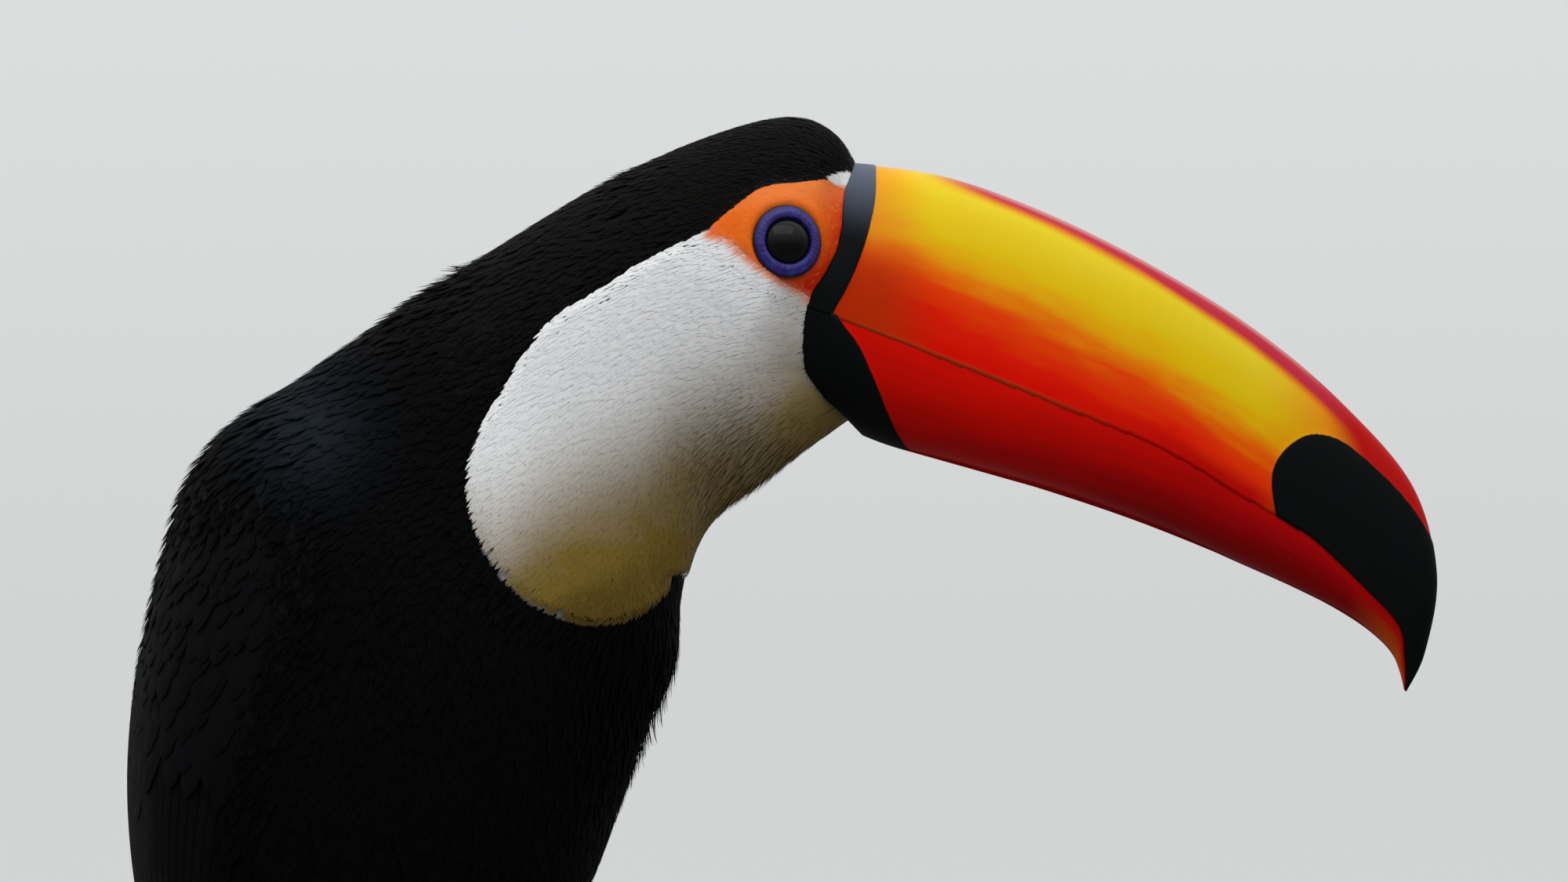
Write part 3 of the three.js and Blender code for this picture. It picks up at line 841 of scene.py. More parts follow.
@dataclass
class Skin:
    """One skin from the face to the toes, lying below the coat by the coat's depth."""

    body: Body
    legs: Legs
    rings: int = 290
    columns: int = 200
    socket_depth: float = 2.4
    socket_radius: float = 8.6
    fold_rise: float = 0.4
    fold_radius: float = 10.9
    tuck: float = 0.24  # share of its size that the skin loses inside the bill
    face_middle: Pair = (98.0, 291.0)
    scute_rise: float = 0.28
    thigh_sink: float = 3.0
    end_sink: float = 4.0  # how far its end is drawn in under the root of the tail
    marked: Sequence[str] = ("bare", "bib", "vent", "rump", "spot")

    def build(self) -> Piece:
        """Makes the skin.

        Returns:
            The skin.
        """
        mesh = MeshBuilder("skin")
        t = np.interp(np.linspace(0, 1, self.rings), [0, HEAD_SHARE, 1], [0, HEAD_END, 1])[:, None]
        t, turn = np.broadcast_arrays(t, circle(self.columns))
        outer = self.body.at(t, turn)
        points = self.body.at(t, turn, -self.body.depth(t, outer) - self.end_sink * smooth(t, 0.95, 1.0))
        points = self.shape_sockets(self.tuck_in(points))
        marks = self.body.marks
        values = {name: getattr(marks, name).within(outer) for name in self.marked}
        values |= {"bib": np.maximum(values["bib"], values["spot"]), "face": marks.ahead.within(outer)}
        values |= dict.fromkeys(("leg", "scute"), np.zeros(t.shape))
        mesh.grid(points, BODY_STRIP, values)
        parts = ("thigh", "shank", *TOES)
        for index in range(2 * len(parts)):
            side, part = divmod(index, len(parts))
            self.add_limb(mesh, parts[part], 2.0 * side - 1.0, limb_strip(index))
        return mesh.make()

    def tuck_in(self, points: Array) -> Array:
        """Draws what lies beyond the face line inside the bill.

        Args:
            points: The skin's points.

        Returns:
            The points, moved.
        """
        share = 1 - self.tuck * smooth(self.body.marks.ahead.within(points), 0.2, 2.4)
        points[..., 1] *= share
        for axis, middle in zip((0, 2), self.face_middle):
            points[..., axis] = middle + (points[..., axis] - middle) * (1 - (1 - share) * 0.55)
        return points

    def shape_sockets(self, points: Array) -> Array:
        """Sinks a socket for each eye, with a soft fold of skin round it.

        Args:
            points: The skin's points.

        Returns:
            The points, moved.
        """
        for side in SIDES.values():
            seat = EyeSeat(side)
            away = points - seat.place
            out = away @ seat.outward
            radius = length_of(away - out[..., None] * seat.outward)
            near = (points[..., 1] * side > 8).astype(float)
            bare = smooth(self.body.marks.bare.within(points), 0.0, 2.0)
            socket = 1 - smooth(radius, self.socket_radius - 1.2, self.socket_radius + 1.0)
            fold = np.exp(-(((radius - self.fold_radius) / 1.5) ** 2))
            move = near * (self.fold_rise * fold * bare - self.socket_depth * socket)
            points = points + move[..., None] * seat.outward
        return points

    def add_limb(self, mesh: MeshBuilder, part: str, side: float, strip: Strip) -> None:
        """Adds a thigh, a shank or a toe, with raised scutes along the front of the bare parts.

        Args:
            mesh: The skin so far.
            part: thigh, shank or the name of a toe.
            side: -1 on the right, 1 on the left.
            strip: The part of the bake map that it takes.
        """
        bare = part != "thigh"
        form = self.legs.toe(part, side) if part in TOES else self.legs.limb(part, side)
        rings, columns, plate = {"thigh": (40, 40, 2.4), "shank": (120, 32, 3.6)}.get(part, (80, 28, 2.4))
        t, turn = np.broadcast_arrays(np.linspace(0, 1, rings)[:, None], circle(columns))
        length = length_of(np.diff(form.at(t[:, 0], turn[:, 0] * 0), axis=0)).sum()
        step = t * round(length / plate) % 1.0
        front = smooth(np.cos(turn), -0.1, 0.5)
        scutes = front * self.scute_rise * (smooth(step, 0, 0.25) - step)
        points = form.at(t, turn, scutes if bare else -self.thigh_sink)
        points[..., 2] = np.maximum(points[..., 2], 0.0)
        values = dict.fromkeys((*self.marked, "face"), np.full(t.shape, -50.0))
        values["leg"] = np.full(t.shape, float(bare))
        values["scute"] = front * smooth(np.abs(step - 0.5), 0.36, 0.5)
        mesh.grid(points, strip, values)


# ---- Feathers ----


@dataclass(frozen=True)
class Cut:
    """How one kind of feather is cut, and how it lies."""

    length: float
    width: float
    thick: float
    rows: int = 5
    blunt: float = 0.55  # where it starts to narrow to its tip
    lift: float = 0.1  # how far its tip stands above the outer form
    spread: float = 0.25  # how unevenly tips are lifted
    wander: float = 0.12  # how far feathers lean to a side
    cup: float = 0.012  # how much its edges bend down, for each millimetre squared
    slope: float = 0.11  # how steeply it rises from its root
    root: float = 0.4  # share of its width that it has at the root

    def shares(self) -> Array:
        """The rows of a feather, closer together near the tip."""
        return 1 - (1 - np.linspace(0, 1, self.rows)) ** 1.35

    def half_widths(self) -> Array:
        """Works out half the feather's width at each row.

        Returns:
            The half widths.
        """
        s = self.shares()
        taper = np.clip((s - self.blunt) / (1 - self.blunt), 0, 1)
        return self.width / 2 * np.minimum(1.0, self.root + 2.4 * s) * np.sqrt(np.maximum(1 - taper**2, 0))


def with_tips(rows: Array, tips: Array) -> Array:
    """Puts three numbers or points for each row of a feather, and one for its tip, in one list."""
    return np.concatenate([rows.reshape(len(tips), -1, *tips.shape[2:]), tips], axis=1)


@dataclass
class Plumes:
    """Many feathers as rows of points: place, outward normal, half width and thickness."""

    centres: Array
    normals: Array
    halves: Array
    thick: Array
    cup: float
    roots: Array
    patch: float = 0.003
    rounding: float = 0.22  # how far the shading turns over towards the edges
    tip_turn: float = 0.10  # how far it turns over towards the tip

    def add_to(self, mesh: MeshBuilder, values: dict[str, Numbers]) -> None:
        """Adds every feather as a closed vane, three-cornered in section.

        Args:
            mesh: The piece that takes them.
            values: Surface values, by feather or by feather and row.
        """
        count, rows = self.halves.shape
        along = unit(np.gradient(self.centres, axis=1))
        side = unit(np.cross(unit(self.normals + self.normals.mean(axis=1, keepdims=True)), along))
        low = self.centres - self.normals * (self.cup * self.halves**2)[..., None]
        out = side * self.halves[..., None]
        ring = np.stack([low - out, self.centres + self.normals * self.thick[..., None], low + out], axis=2)
        points = with_tips(ring[:, :-1], self.centres[:, -1:])
        base = (np.arange(count) * points.shape[1])[:, None, None]
        k = base + np.arange(rows - 2)[None, :, None] * 3
        sides = ((0, 3, 4, 1), (1, 4, 5, 2), (2, 5, 3, 0))
        quads = np.concatenate([k + np.array(corners) for corners in sides], axis=1)
        end = (rows - 2) * 3
        tips = np.array([*(end + np.array([(0, 3, 1), (1, 3, 2), (2, 3, 0)])), (0, 1, 2)])
        steps = length_of(np.diff(self.centres, axis=1))
        reach = np.concatenate([np.zeros((count, 1)), np.cumsum(steps, axis=1)], axis=1)
        wide = with_tips(self.halves[:, :-1, None] * np.array([-1.0, 0.0, 1.0]), np.zeros((count, 1)))
        far = with_tips(np.repeat(reach[:, :-1], 3, axis=1), reach[:, -1:])
        u = self.roots[:, :1] + self.patch * wide / (self.halves.max(axis=1, keepdims=True) * 2)
        v = self.roots[:, 1:] + self.patch * (far / reach[:, -1:] - 0.5)
        maps = {
            "OFBake": np.stack([u, v], axis=-1).reshape(-1, 2),
            "Vane": np.stack([wide, far], axis=-1).reshape(-1, 2) / 10,
        }
        full = {name: np.broadcast_to(numbers, (count, rows)) for name, numbers in values.items()}
        full = {name: with_tips(np.repeat(n[:, :-1], 3, axis=1), n[:, -1:]) for name, n in full.items()}
        full["rim"] = np.tile(np.append(np.tile([1.0, 0.0, 1.0], rows - 1), 1.0), count)
        faces = [quads.reshape(-1, 4), (base + tips[None]).reshape(-1, 3)]
        mesh.add(points.reshape(-1, 3), faces, maps, full, self.shading(side, along))

    def shading(self, side: Array, along: Array) -> Array:
        """Shades each feather as a part of the coat, only slightly rounded.

        Args:
            side: The way across each row.
            along: The way along the feather at each row.

        Returns:
            A direction for every point.
        """
        reach = np.linspace(0, 1, self.halves.shape[1])[None, :, None]
        middle = self.normals + self.tip_turn * (2 * reach - 1) * along
        ring = np.stack([middle - self.rounding * side, middle, middle + self.rounding * side], axis=2)
        return unit(with_tips(ring[:, :-1], middle[:, -1:]).reshape(-1, 3))


def scatter(points: Array, spacing: float) -> Array:
    """Picks points so that no two of them lie nearer than a spacing.

    Args:
        points: The points, in the order in which they are tried.
        spacing: The least distance between two of them.

    Returns:
        The numbers of the points chosen.
    """
    cells: dict[tuple[int, int, int], list] = {}
    chosen = []
    limit = spacing * spacing
    near = [(i, j, k) for i in (-1, 0, 1) for j in (-1, 0, 1) for k in (-1, 0, 1)]
    keys = np.floor(points / spacing).astype(int).tolist()
    for index, ((a, b, c), (x, y, z)) in enumerate(zip(keys, points.tolist())):
        beside = (cells.get((a + i, b + j, c + k), ()) for i, j, k in near)
        if any((p - x) ** 2 + (q - y) ** 2 + (r - z) ** 2 < limit for cell in beside for p, q, r in cell):
            continue
        cells.setdefault((a, b, c), []).append((x, y, z))
        chosen.append(index)
    return np.array(chosen, dtype=int)


def everywhere(places: Array) -> Array:
    """Feathers may grow, and are kept, at every place."""
    return np.ones(places.shape[:-1], dtype=bool)


def nowhere(places: Array) -> Array:
    """A value that stays 0 all over."""
    return np.zeros(places.shape[:-1])


@dataclass
class Field:
    """A stretch of a surface that feathers grow on."""

    surface: Surface
    strip: Strip
    t_span: Pair = (0.0, 1.0)
    turn_span: Pair = (0.0, TURN)
    along: Rule = lambda t: t
    full_turn: float = TURN
    cells: int = 160

    def roots(self, spacing: float, seed: int, keep: Rule) -> Array:
        """Spreads roots evenly over the stretch.

        Args:
            spacing: The least distance between roots.
            seed: Fixes the random draw.
            keep: Where feathers may grow.

        Returns:
            Each root's share along and turn.
        """
        draw = np.random.default_rng(seed)
        t, turn = (np.linspace(*span, self.cells) for span in (self.t_span, self.turn_span))
        grid = self.surface.at(t[:, None], turn[None, :])
        start = grid[:-1, :-1]
        area = length_of(np.cross(grid[1:, :-1] - start, grid[:-1, 1:] - start)) * keep(start)
        count = int(area.sum() / spacing**2 * 5)
        cell = draw.choice(area.size, size=count, p=(area / area.sum()).ravel())
        row, column = np.divmod(cell, self.cells - 1)
        share = t[row] + draw.random(count) * (t[1] - t[0])
        places = np.stack([share, turn[column] + draw.random(count) * (turn[1] - turn[0])], axis=-1)
        return places[scatter(self.surface.at(places[:, 0], places[:, 1]), spacing)]


@dataclass
class Tufts:
    """Feathers of one cut spread over one field."""

    field: Field
    cut: Cut
    spacing: float
    seed: int
    depth: Callable[[Array, Array], Array]
    keep: Rule = everywhere
    show: Rule = everywhere
    size: Rule = everywhere
    loose: Rule = nowhere
    # buff tint and painted shade on the bib, painted blue sheen on black feathers
    stain_shade_and_sheen: Rule = nowhere
    blush: Rule = nowhere
    over: Rule = nowhere
    rooted: bool = False  # whether a feather's root has to lie where it is shown
    past_end: bool = False  # whether feathers run on past the end of their surface
    rounding: float = 0.22
    last: float = 0.9975

    def walk(self, roots: Array, length: Array, lean: Array) -> list[Array]:
        """Follows the surface from each root, row by row.

        Args:
            roots: Each root's share along and turn.
            length: How far along each row lies.
            lean: How far to the side it lies.

        Returns:
            Shares along, turns and lengths past the surface's end.
        """
        at, step = self.field.surface.at, 1e-3
        rows = [(roots[:, 0], roots[:, 1], np.zeros(len(roots)))]
        for row in range(1, length.shape[1]):
            t, turn, past = rows[-1]
            here = at(t, turn)
            speed = length_of(at(t + step, turn) - here)
            girth = length_of(at(t, turn + 0.01) - here)
            ahead = (length[:, row] - length[:, row - 1]) * step / np.maximum(speed, 1e-6)
            past = past + np.maximum(t + ahead - self.last, 0) * speed / step
            turn = turn + (lean[:, row] - lean[:, row - 1]) * 0.01 / np.maximum(girth, 1e-6)
            rows.append((np.minimum(t + ahead, self.last), turn, past))
        return [np.stack(column, axis=1) for column in zip(*rows)]

    def add_to(self, mesh: MeshBuilder) -> None:
        """Grows the feathers.

        Args:
            mesh: The piece that takes them.
        """
        draw, cut, surface = np.random.default_rng(self.seed + 1), self.cut, self.field.surface
        roots, shares = self.field.roots(self.spacing, self.seed, self.keep), cut.shares()
        scale = self.size(surface.at(roots[:, 0], roots[:, 1])) * draw.uniform(0.85, 1.12, len(roots))
        length = (cut.length * scale)[:, None] * shares
        t, turn, past = self.walk(roots, length, draw.normal(0, cut.wander, len(roots))[:, None] * length)
        outer = surface.at(t, turn)
        shown = self.show(outer[:, -2]) & self.show(outer[:, -1]) & (self.past_end | (t[:, -1] < self.last))
        if self.rooted:
            shown &= self.show(outer[:, 1])
        t, turn, past, outer, scale, roots = (part[shown] for part in (t, turn, past, outer, scale, roots))
        lift = cut.lift + draw.uniform(-cut.spread, cut.spread, len(t))
        stand = lift + self.loose(outer[:, 0]) * draw.uniform(0.2, 1.0, len(t)) ** 2 + self.over(outer[:, -1])
        steep = np.minimum(0.85 * self.depth(t, outer)[:, :1], cut.slope * (cut.length * scale)[:, None])
        grow = -steep * (1 - shares**0.8) + stand[:, None] * shares**2
        place, normal = lie_on(surface, t, turn, grow)
        onwards = unit(surface.at(t, turn) - surface.at(t - 0.01, turn))
        halves = cut.half_widths() * np.sqrt(scale)[:, None]
        ridge = cut.thick * np.sqrt(np.maximum(1 - shares, 0.02)) * scale[:, None]
        spots = self.field.strip.place(roots[:, 1] / self.field.full_turn, self.field.along(roots[:, 0]))
        centres = place + onwards * past[..., None]
        Plumes(centres, normal, halves, ridge, cut.cup, spots, rounding=self.rounding).add_to(mesh, {
            "tone": draw.random(len(t))[:, None],
            "reach": shares,
            "stain_shade_and_sheen": self.stain_shade_and_sheen(outer[:, -2])[:, None],
            "blush": self.blush(outer),
        })


# ---- Wings and tail ----


@dataclass
class WingForm:
    """The outer face of a folded wing, read from its top to its tip and from the back to its edge."""

    body: Body
    side: float
    top: float = 262.0
    tip: float = 97.5
    proud: float = 0.45
    heights: Sequence[float] = (97.5, 111, 130, 155, 180, 205, 228, 246, 262)
    edge_angles: Sequence[float] = (26, 40, 59.5, 67.5, 70, 71, 66.5, 47, 18)  # of the leading edge
    back_angles: Sequence[float] = (1, 1, 1.2, 1.5, 4.5, 8, 11, 13, 14)  # of the edge along the back

    def at(self, t: Array, turn: Array, grow: Numbers = 0.0) -> Array:
        """Finds points on the wing.

        Args:
            t: Shares of the way from top to tip.
            turn: Shares of the way from back to leading edge.
            grow: Distance outwards.

        Returns:
            The points.
        """
        t, share, grow = np.broadcast_arrays(t, turn, grow)
        height = self.top + (self.tip - self.top) * t
        place = np.interp(height, self.heights, np.linspace(0, 1, len(self.heights)))
        back, edge = spline(self.back_angles, place), spline(self.edge_angles, place)
        angle = np.radians(back + (edge - back) * share)
        return self.body.form.at(self.body.level(angle, height), -self.side * angle, grow + self.proud)


WING_OUTLINE = Outline((
    (-58, 262), (-42, 246), (-35, 228), (-39, 205), (-46, 180), (-52, 155), (-60, 130), (-69, 111),
    (-77, 97.5), (-96, 105), (-106, 140), (-106, 200), (-88, 245),
))


@dataclass
class Wing:
    """A folded wing: flight feathers in a stack, under rows of coverts."""

    form: WingForm
    flights: int = 17
    flight_rows: int = 20
    flight_width: Pair = (17.0, 11.0)
    root_heights: Pair = (196.0, 226.0)
    tip_heights: Pair = (132.0, 97.5)
    stack: float = 0.16
    coverts: Sequence[tuple[float, ...]] = (  # length, width, spacing, and from where to where on the wing
        (30.0, 10.0, 5.4, 0.30, 0.46), (20.0, 7.0, 3.9, 0.17, 0.35), (13.0, 4.6, 2.4, 0.09, 0.23),
    )

    def build(self, name: str, seed: int) -> Piece:
        """Makes the wing.

        Args:
            name: The piece's name.
            seed: Fixes the random draws.

        Returns:
            The wing.
        """
        mesh = MeshBuilder(name)
        self.add_flights(mesh, seed)
        for row, (length, width, spacing, low, high) in enumerate(self.coverts):
            lift = 0.3 + 0.12 * row
            cut = Cut(length, width, 0.09, rows=7, blunt=0.35, lift=lift, spread=0.12, wander=0.07)
            area = Field(self.form, WHOLE_STRIP, (low, high), (0.02, 0.97), full_turn=1.0)
            depth = lambda t, places: np.full(t.shape, 1.2)
            # the coverts take the painted blue sheen at the shoulder
            Tufts(area, cut, spacing, seed + 10 * row, depth, stain_shade_and_sheen=painted_shoulder_sheen, rounding=0.12).add_to(mesh)
        return mesh.make("rim")

    def add_flights(self, mesh: MeshBuilder, seed: int) -> None:
        """Adds the flight feathers, the innermost on top.

        Args:
            mesh: The wing so far.
            seed: Fixes their small differences.
        """
        draw, form = np.random.default_rng(seed), self.form
        rank = np.linspace(0, 1, self.flights)
        cut = Cut(1.0, 1.0, 0.4, rows=self.flight_rows, blunt=0.8)
        shares, span = cut.shares(), form.tip - form.top
        start = (np.interp(rank, [0, 1], self.root_heights) - form.top) / span
        end = np.interp(rank**0.6, [0, 1], self.tip_heights) + draw.normal(0, 0.8, self.flights) - form.top
        t = start[:, None] + (np.minimum(end / span, 0.995) - start)[:, None] * shares
        turn = np.broadcast_to((0.06 + 0.88 * rank)[:, None], t.shape)
        layer = 0.2 - self.stack * np.arange(self.flights)[:, None] + 0.3 * shares
        place, normal = lie_on(form, t, turn, layer)
        room = length_of(form.at(t, turn * 0 + 1.0) - form.at(t, turn * 0))
        width = np.interp(rank, [0, 1], self.flight_width)[:, None] * np.minimum(1, room / 42)
        spots = WHOLE_STRIP.place(turn[:, 0] * 0.9, t[:, 0] * 0.9)
        halves = cut.half_widths() * width
        thick = 0.45 * np.sqrt(np.maximum(1 - shares, 0.05)) * np.ones_like(halves)
        values = {"tone": draw.random(self.flights)[:, None], "reach": shares, "stain_shade_and_sheen": 0.0, "blush": 0.0}
        Plumes(place, normal, halves, thick, 0.011, spots, patch=0.05, rounding=0.3).add_to(mesh, values)


@dataclass
class Tail:
    """Ten tail feathers in a shallow fan, laid along the floor at their tips."""

    upper: Points = (
        (-72, 87), (-100, 71.5), (-130, 53.5), (-160, 34.5), (-187, 17), (-205, 6.6), (-218, 2.6),
    )
    lower: Points = (
        (-76, 78), (-103, 62.5), (-133, 45.5), (-163, 27.6), (-189, 11), (-206, 1.4), (-218, -2.2),
    )
    half: Sequence[float] = (15, 20, 24.5, 28.5, 31, 30, 25)
    width: float = 21.0
    rows: int = 34
    clear: float = 0.25  # of the floor
    droop: float = 2.2
    tips: Sequence[float] = (1.0, 0.99, 0.975, 0.955, 0.93)
    fan: Sequence[float] = (0.16, 0.36, 0.58, 0.8, 1.0)

    def build(self) -> Piece:
        """Makes the tail.

        Returns:
            The tail.
        """
        mesh = MeshBuilder("tail_feathers")
        for rank in range(len(self.fan)):
            for side in SIDES.values():
                self.add_feather(mesh, rank, side)
        return mesh.make("rim")

    def add_feather(self, mesh: MeshBuilder, rank: int, side: float) -> None:
        """Adds one feather.

        Args:
            mesh: The tail so far.
            rank: Its rank from the middle of the tail.
            side: -1 on the right, 1 on the left.
        """
        cut, pairs = Cut(1.0, 1.0, 0.4, rows=self.rows, blunt=0.9), len(self.fan)
        shares = cut.shares()
        top, low, half = (spline(rail, 0.04 + (self.tips[rank] - 0.04) * shares)
                          for rail in (self.upper, self.lower, self.half))
        width = np.minimum(self.width, half * 1.1)
        y = side * self.fan[rank] * (half - width / 2)
        base = np.maximum(low[:, 1], self.clear)
        step = np.clip((top[:, 1] - base - 0.5) / pairs, 0.08, 0.95)
        z = top[:, 1] - 0.3 - step * (rank + (0.45 if side > 0 else 0.0))
        z = np.maximum(z - self.droop * (y / half) ** 2 * step, base + 0.1 * (pairs - rank))
        centres = np.stack([top[:, 0], y, z], axis=-1)[None]
        along = unit(np.gradient(centres, axis=1))
        normals = unit(np.array([0.0, 0.0, 1.0]) - along[..., 2:] * along)
        thick = 0.5 * np.sqrt(np.maximum(1 - shares, 0.05))
        spot = np.array([[(rank + 0.5 + (pairs if side > 0 else 0)) / (2 * pairs), 0.5]])
        halves = (cut.half_widths() * width)[None]
        values = {"tone": 0.3 + 0.1 * rank, "reach": shares, "stain_shade_and_sheen": 0.0, "blush": 0.0}
        plumes = Plumes(centres, normals, halves, thick[None], 0.004, spot, patch=0.09, rounding=0.5)
        plumes.add_to(mesh, values)


# ---- The coat ----


def painted_shoulder_sheen(places: Array) -> Array:
    """How much painted blue sheen black feathers get, most at the shoulder: a painted highlight."""
    away = (places[:, 0] + 40.0) ** 2 + (places[:, 2] - 252.0) ** 2
    return np.exp(-away / 13.0**2)


@dataclass(frozen=True)
class Stray:
    """A place where a few feathers stand away from the rest."""

    x: float
    z: float
    reach: float
    height: float


STRAYS = (
    Stray(0.0, 296.5, 7.0, 3.6),  # nape
    Stray(-9.0, 287.0, 5.0, 2.2),  # neck
    Stray(43.0, 320.5, 5.0, 1.6),  # back of the crown
    Stray(76.0, 246.0, 13.0, 2.6),  # chin
    Stray(52.0, 186.0, 17.0, 4.2),  # breast
    Stray(-66.0, 248.0, 12.0, 0.9),  # mantle
)


@dataclass(frozen=True)
class Stretch:
    """Feathers of one cut on one stretch of the body: their tract, spacing, seed and reach."""

    tract: Tract
    cut: Cut
    spacing: float
    seed: int
    t_span: Pair
    turns: Pair = (0.0, TURN)


@dataclass
class Coat:
    """The small feathers of head, neck and trunk, in pieces that each take one finish."""

    body: Body
    legs: Legs
    blush_reach: float = 3.4  # how far from bare skin the bib is tinged pink
    stain_shade_places: Sequence[float] = (8, 20, 44, 52, 72, 88)
    stain_shade_levels: Sequence[float] = (205.5, 215.6, 227, 235, 244, 262)  # heights at which the buff tint and painted shade are full

    def loose(self, places: Array) -> Array:
        """How far feathers may stand off at some places."""
        x, z = places[:, 0], places[:, 2]
        return sum(s.height * np.exp(-((x - s.x) ** 2 + (z - s.z) ** 2) / s.reach**2) for s in STRAYS)

    def over_wing(self, places: Array) -> Array:
        """How far feathers rise to lie over the edges of the wings."""
        return 1.1 * smooth(WING_OUTLINE.within(places), -5.0, 3.0)

    def shows(self, tract: Tract) -> Rule:
        """A test of whether places belong to a tract."""
        return lambda places: self.body.marks.tract(places) == tract.value

    def may_grow(self, places: Array) -> Array:
        """Keeps feathers off bare skin, off the bill and from far under the wings.

        Args:
            places: The places.

        Returns:
            Whether feathers may grow at each.
        """
        marks, y, z = self.body.marks, places[..., 1], places[..., 2]
        furred = (marks.bare.within(places) < 1.1 * (z < 304)) | (marks.spot.within(places) > -0.5)
        wedge = np.interp(z, (150, 262), (0, 15)) + 5
        covered = (WING_OUTLINE.within(places) > 8) & (np.abs(y) > wedge) & (z < 238)
        return furred & (marks.ahead.within(places) < 0.6) & ~covered

    def near_skin(self, places: Array) -> Array:
        """Makes black feathers short beside bare skin, the bill and the bib.

        Args:
            places: The places.

        Returns:
            The share of their full size.
        """
        marks = self.body.marks
        gap = np.minimum(-marks.bare.within(places), -marks.ahead.within(places))
        by_bib = 0.5 + 0.5 * smooth(-marks.bib.within(places), 0.0, 6.0)
        return np.minimum(0.32 + 0.68 * smooth(gap, 0.0, 9.0), by_bib)

    def bib_edge(self, places: Array) -> Array:
        """Makes white feathers shorter towards the edges of the bib.

        Args:
            places: The places.

        Returns:
            The share of their full size.
        """
        by_skin = smooth(-self.body.marks.bare.within(places), 0.0, 8.0)
        by_black = smooth(self.body.marks.bib.within(places), 0.0, 6.0)
        return np.maximum(0.68, by_skin) * np.maximum(0.5, np.maximum(by_black, 1 - by_skin))

    def by_edge(self, tract: Tract) -> Rule:
        """A rule for tail coverts, shorter towards the edge of their tract."""
        outline = self.body.marks.rump if tract is Tract.RUMP_WHITE else self.body.marks.vent
        return lambda places: 0.5 + 0.5 * smooth(outline.within(places), -1.0, 7.0)

    def blush(self, places: Array) -> Array:
        """How far white feathers are tinged pink, most beside the bare skin."""
        return 1 - smooth(-self.body.marks.bare.within(places), -1.0, self.blush_reach)

    def stain_shade_and_sheen(self, places: Array) -> Array:
        """Stains the bib a warm buff and paints shade on it, towards its lower and front edges: partly a real
        buff tint, partly painted shade and painted warm light bounced from below.

        Args:
            places: The places.

        Returns:
            How far each is stained and painted darker.
        """
        x = places[:, 0]
        above = places[:, 2] - np.interp(x, self.stain_shade_places, self.stain_shade_levels)
        # the lowest edge goes past full, where the finish paints its deepest shade
        shaded_low_edge = (1 - smooth(above, -14.0, 0.0)) * (1 - smooth(x, 40.0, 60.0))
        return (1 - smooth(above, 0.0, 44.0)) * (1 - 0.06 * smooth(x, 38.0, 56.0)) + 0.3 * shaded_low_edge

    def grow(self, name: str, *stretches: Stretch) -> Piece:
        """Grows one piece of the coat.

        Args:
            name: The piece's name.
            stretches: The stretches that it covers.

        Returns:
            The piece.
        """
        mesh = MeshBuilder(name)
        sizes = {Tract.BIB: self.bib_edge, Tract.BLACK: self.near_skin}
        for part in stretches:
            white, spot = part.tract is Tract.BIB, part.tract is Tract.BROW_SPOT
            area = Field(self.body, BODY_STRIP, part.t_span, part.turns, along_map)
            rules = (self.body.depth, self.may_grow, self.shows(part.tract))
            tufts = Tufts(area, part.cut, part.spacing, part.seed, *rules)
            tufts.rounding = 0.1 if white or spot else 0.22
            if spot:
                tufts.blush = lambda places: smooth(-places[..., 2], -316.4, -314.0)
            else:
                tufts.size = sizes.get(part.tract) or self.by_edge(part.tract)
                tufts.loose, tufts.blush, tufts.over = self.loose, self.blush, self.over_wing
                # the bib takes its buff tint and painted shade, black feathers the painted blue sheen at the
                # shoulder
                tufts.stain_shade_and_sheen = self.stain_shade_and_sheen if white else painted_shoulder_sheen
                tufts.rooted = tufts.past_end = True
            tufts.add_to(mesh)
        return mesh.make("rim")

    def thighs(self) -> Piece:
        """Grows the feathers of both thighs.

        Returns:
            The piece.
        """
        mesh = MeshBuilder("coat_thighs")
        cut = Cut(13.0, 3.6, 0.28, rows=6, blunt=0.3, lift=0.2, wander=0.14)
        for index, side in enumerate(SIDES.values()):
            area = Field(self.legs.limb("thigh", side), limb_strip(index * 6), (0.12, 0.86))
            Tufts(area, cut, 2.4, 41 + index, lambda t, places: np.full(t.shape, 2.4)).add_to(mesh)
        return mesh.make("rim")

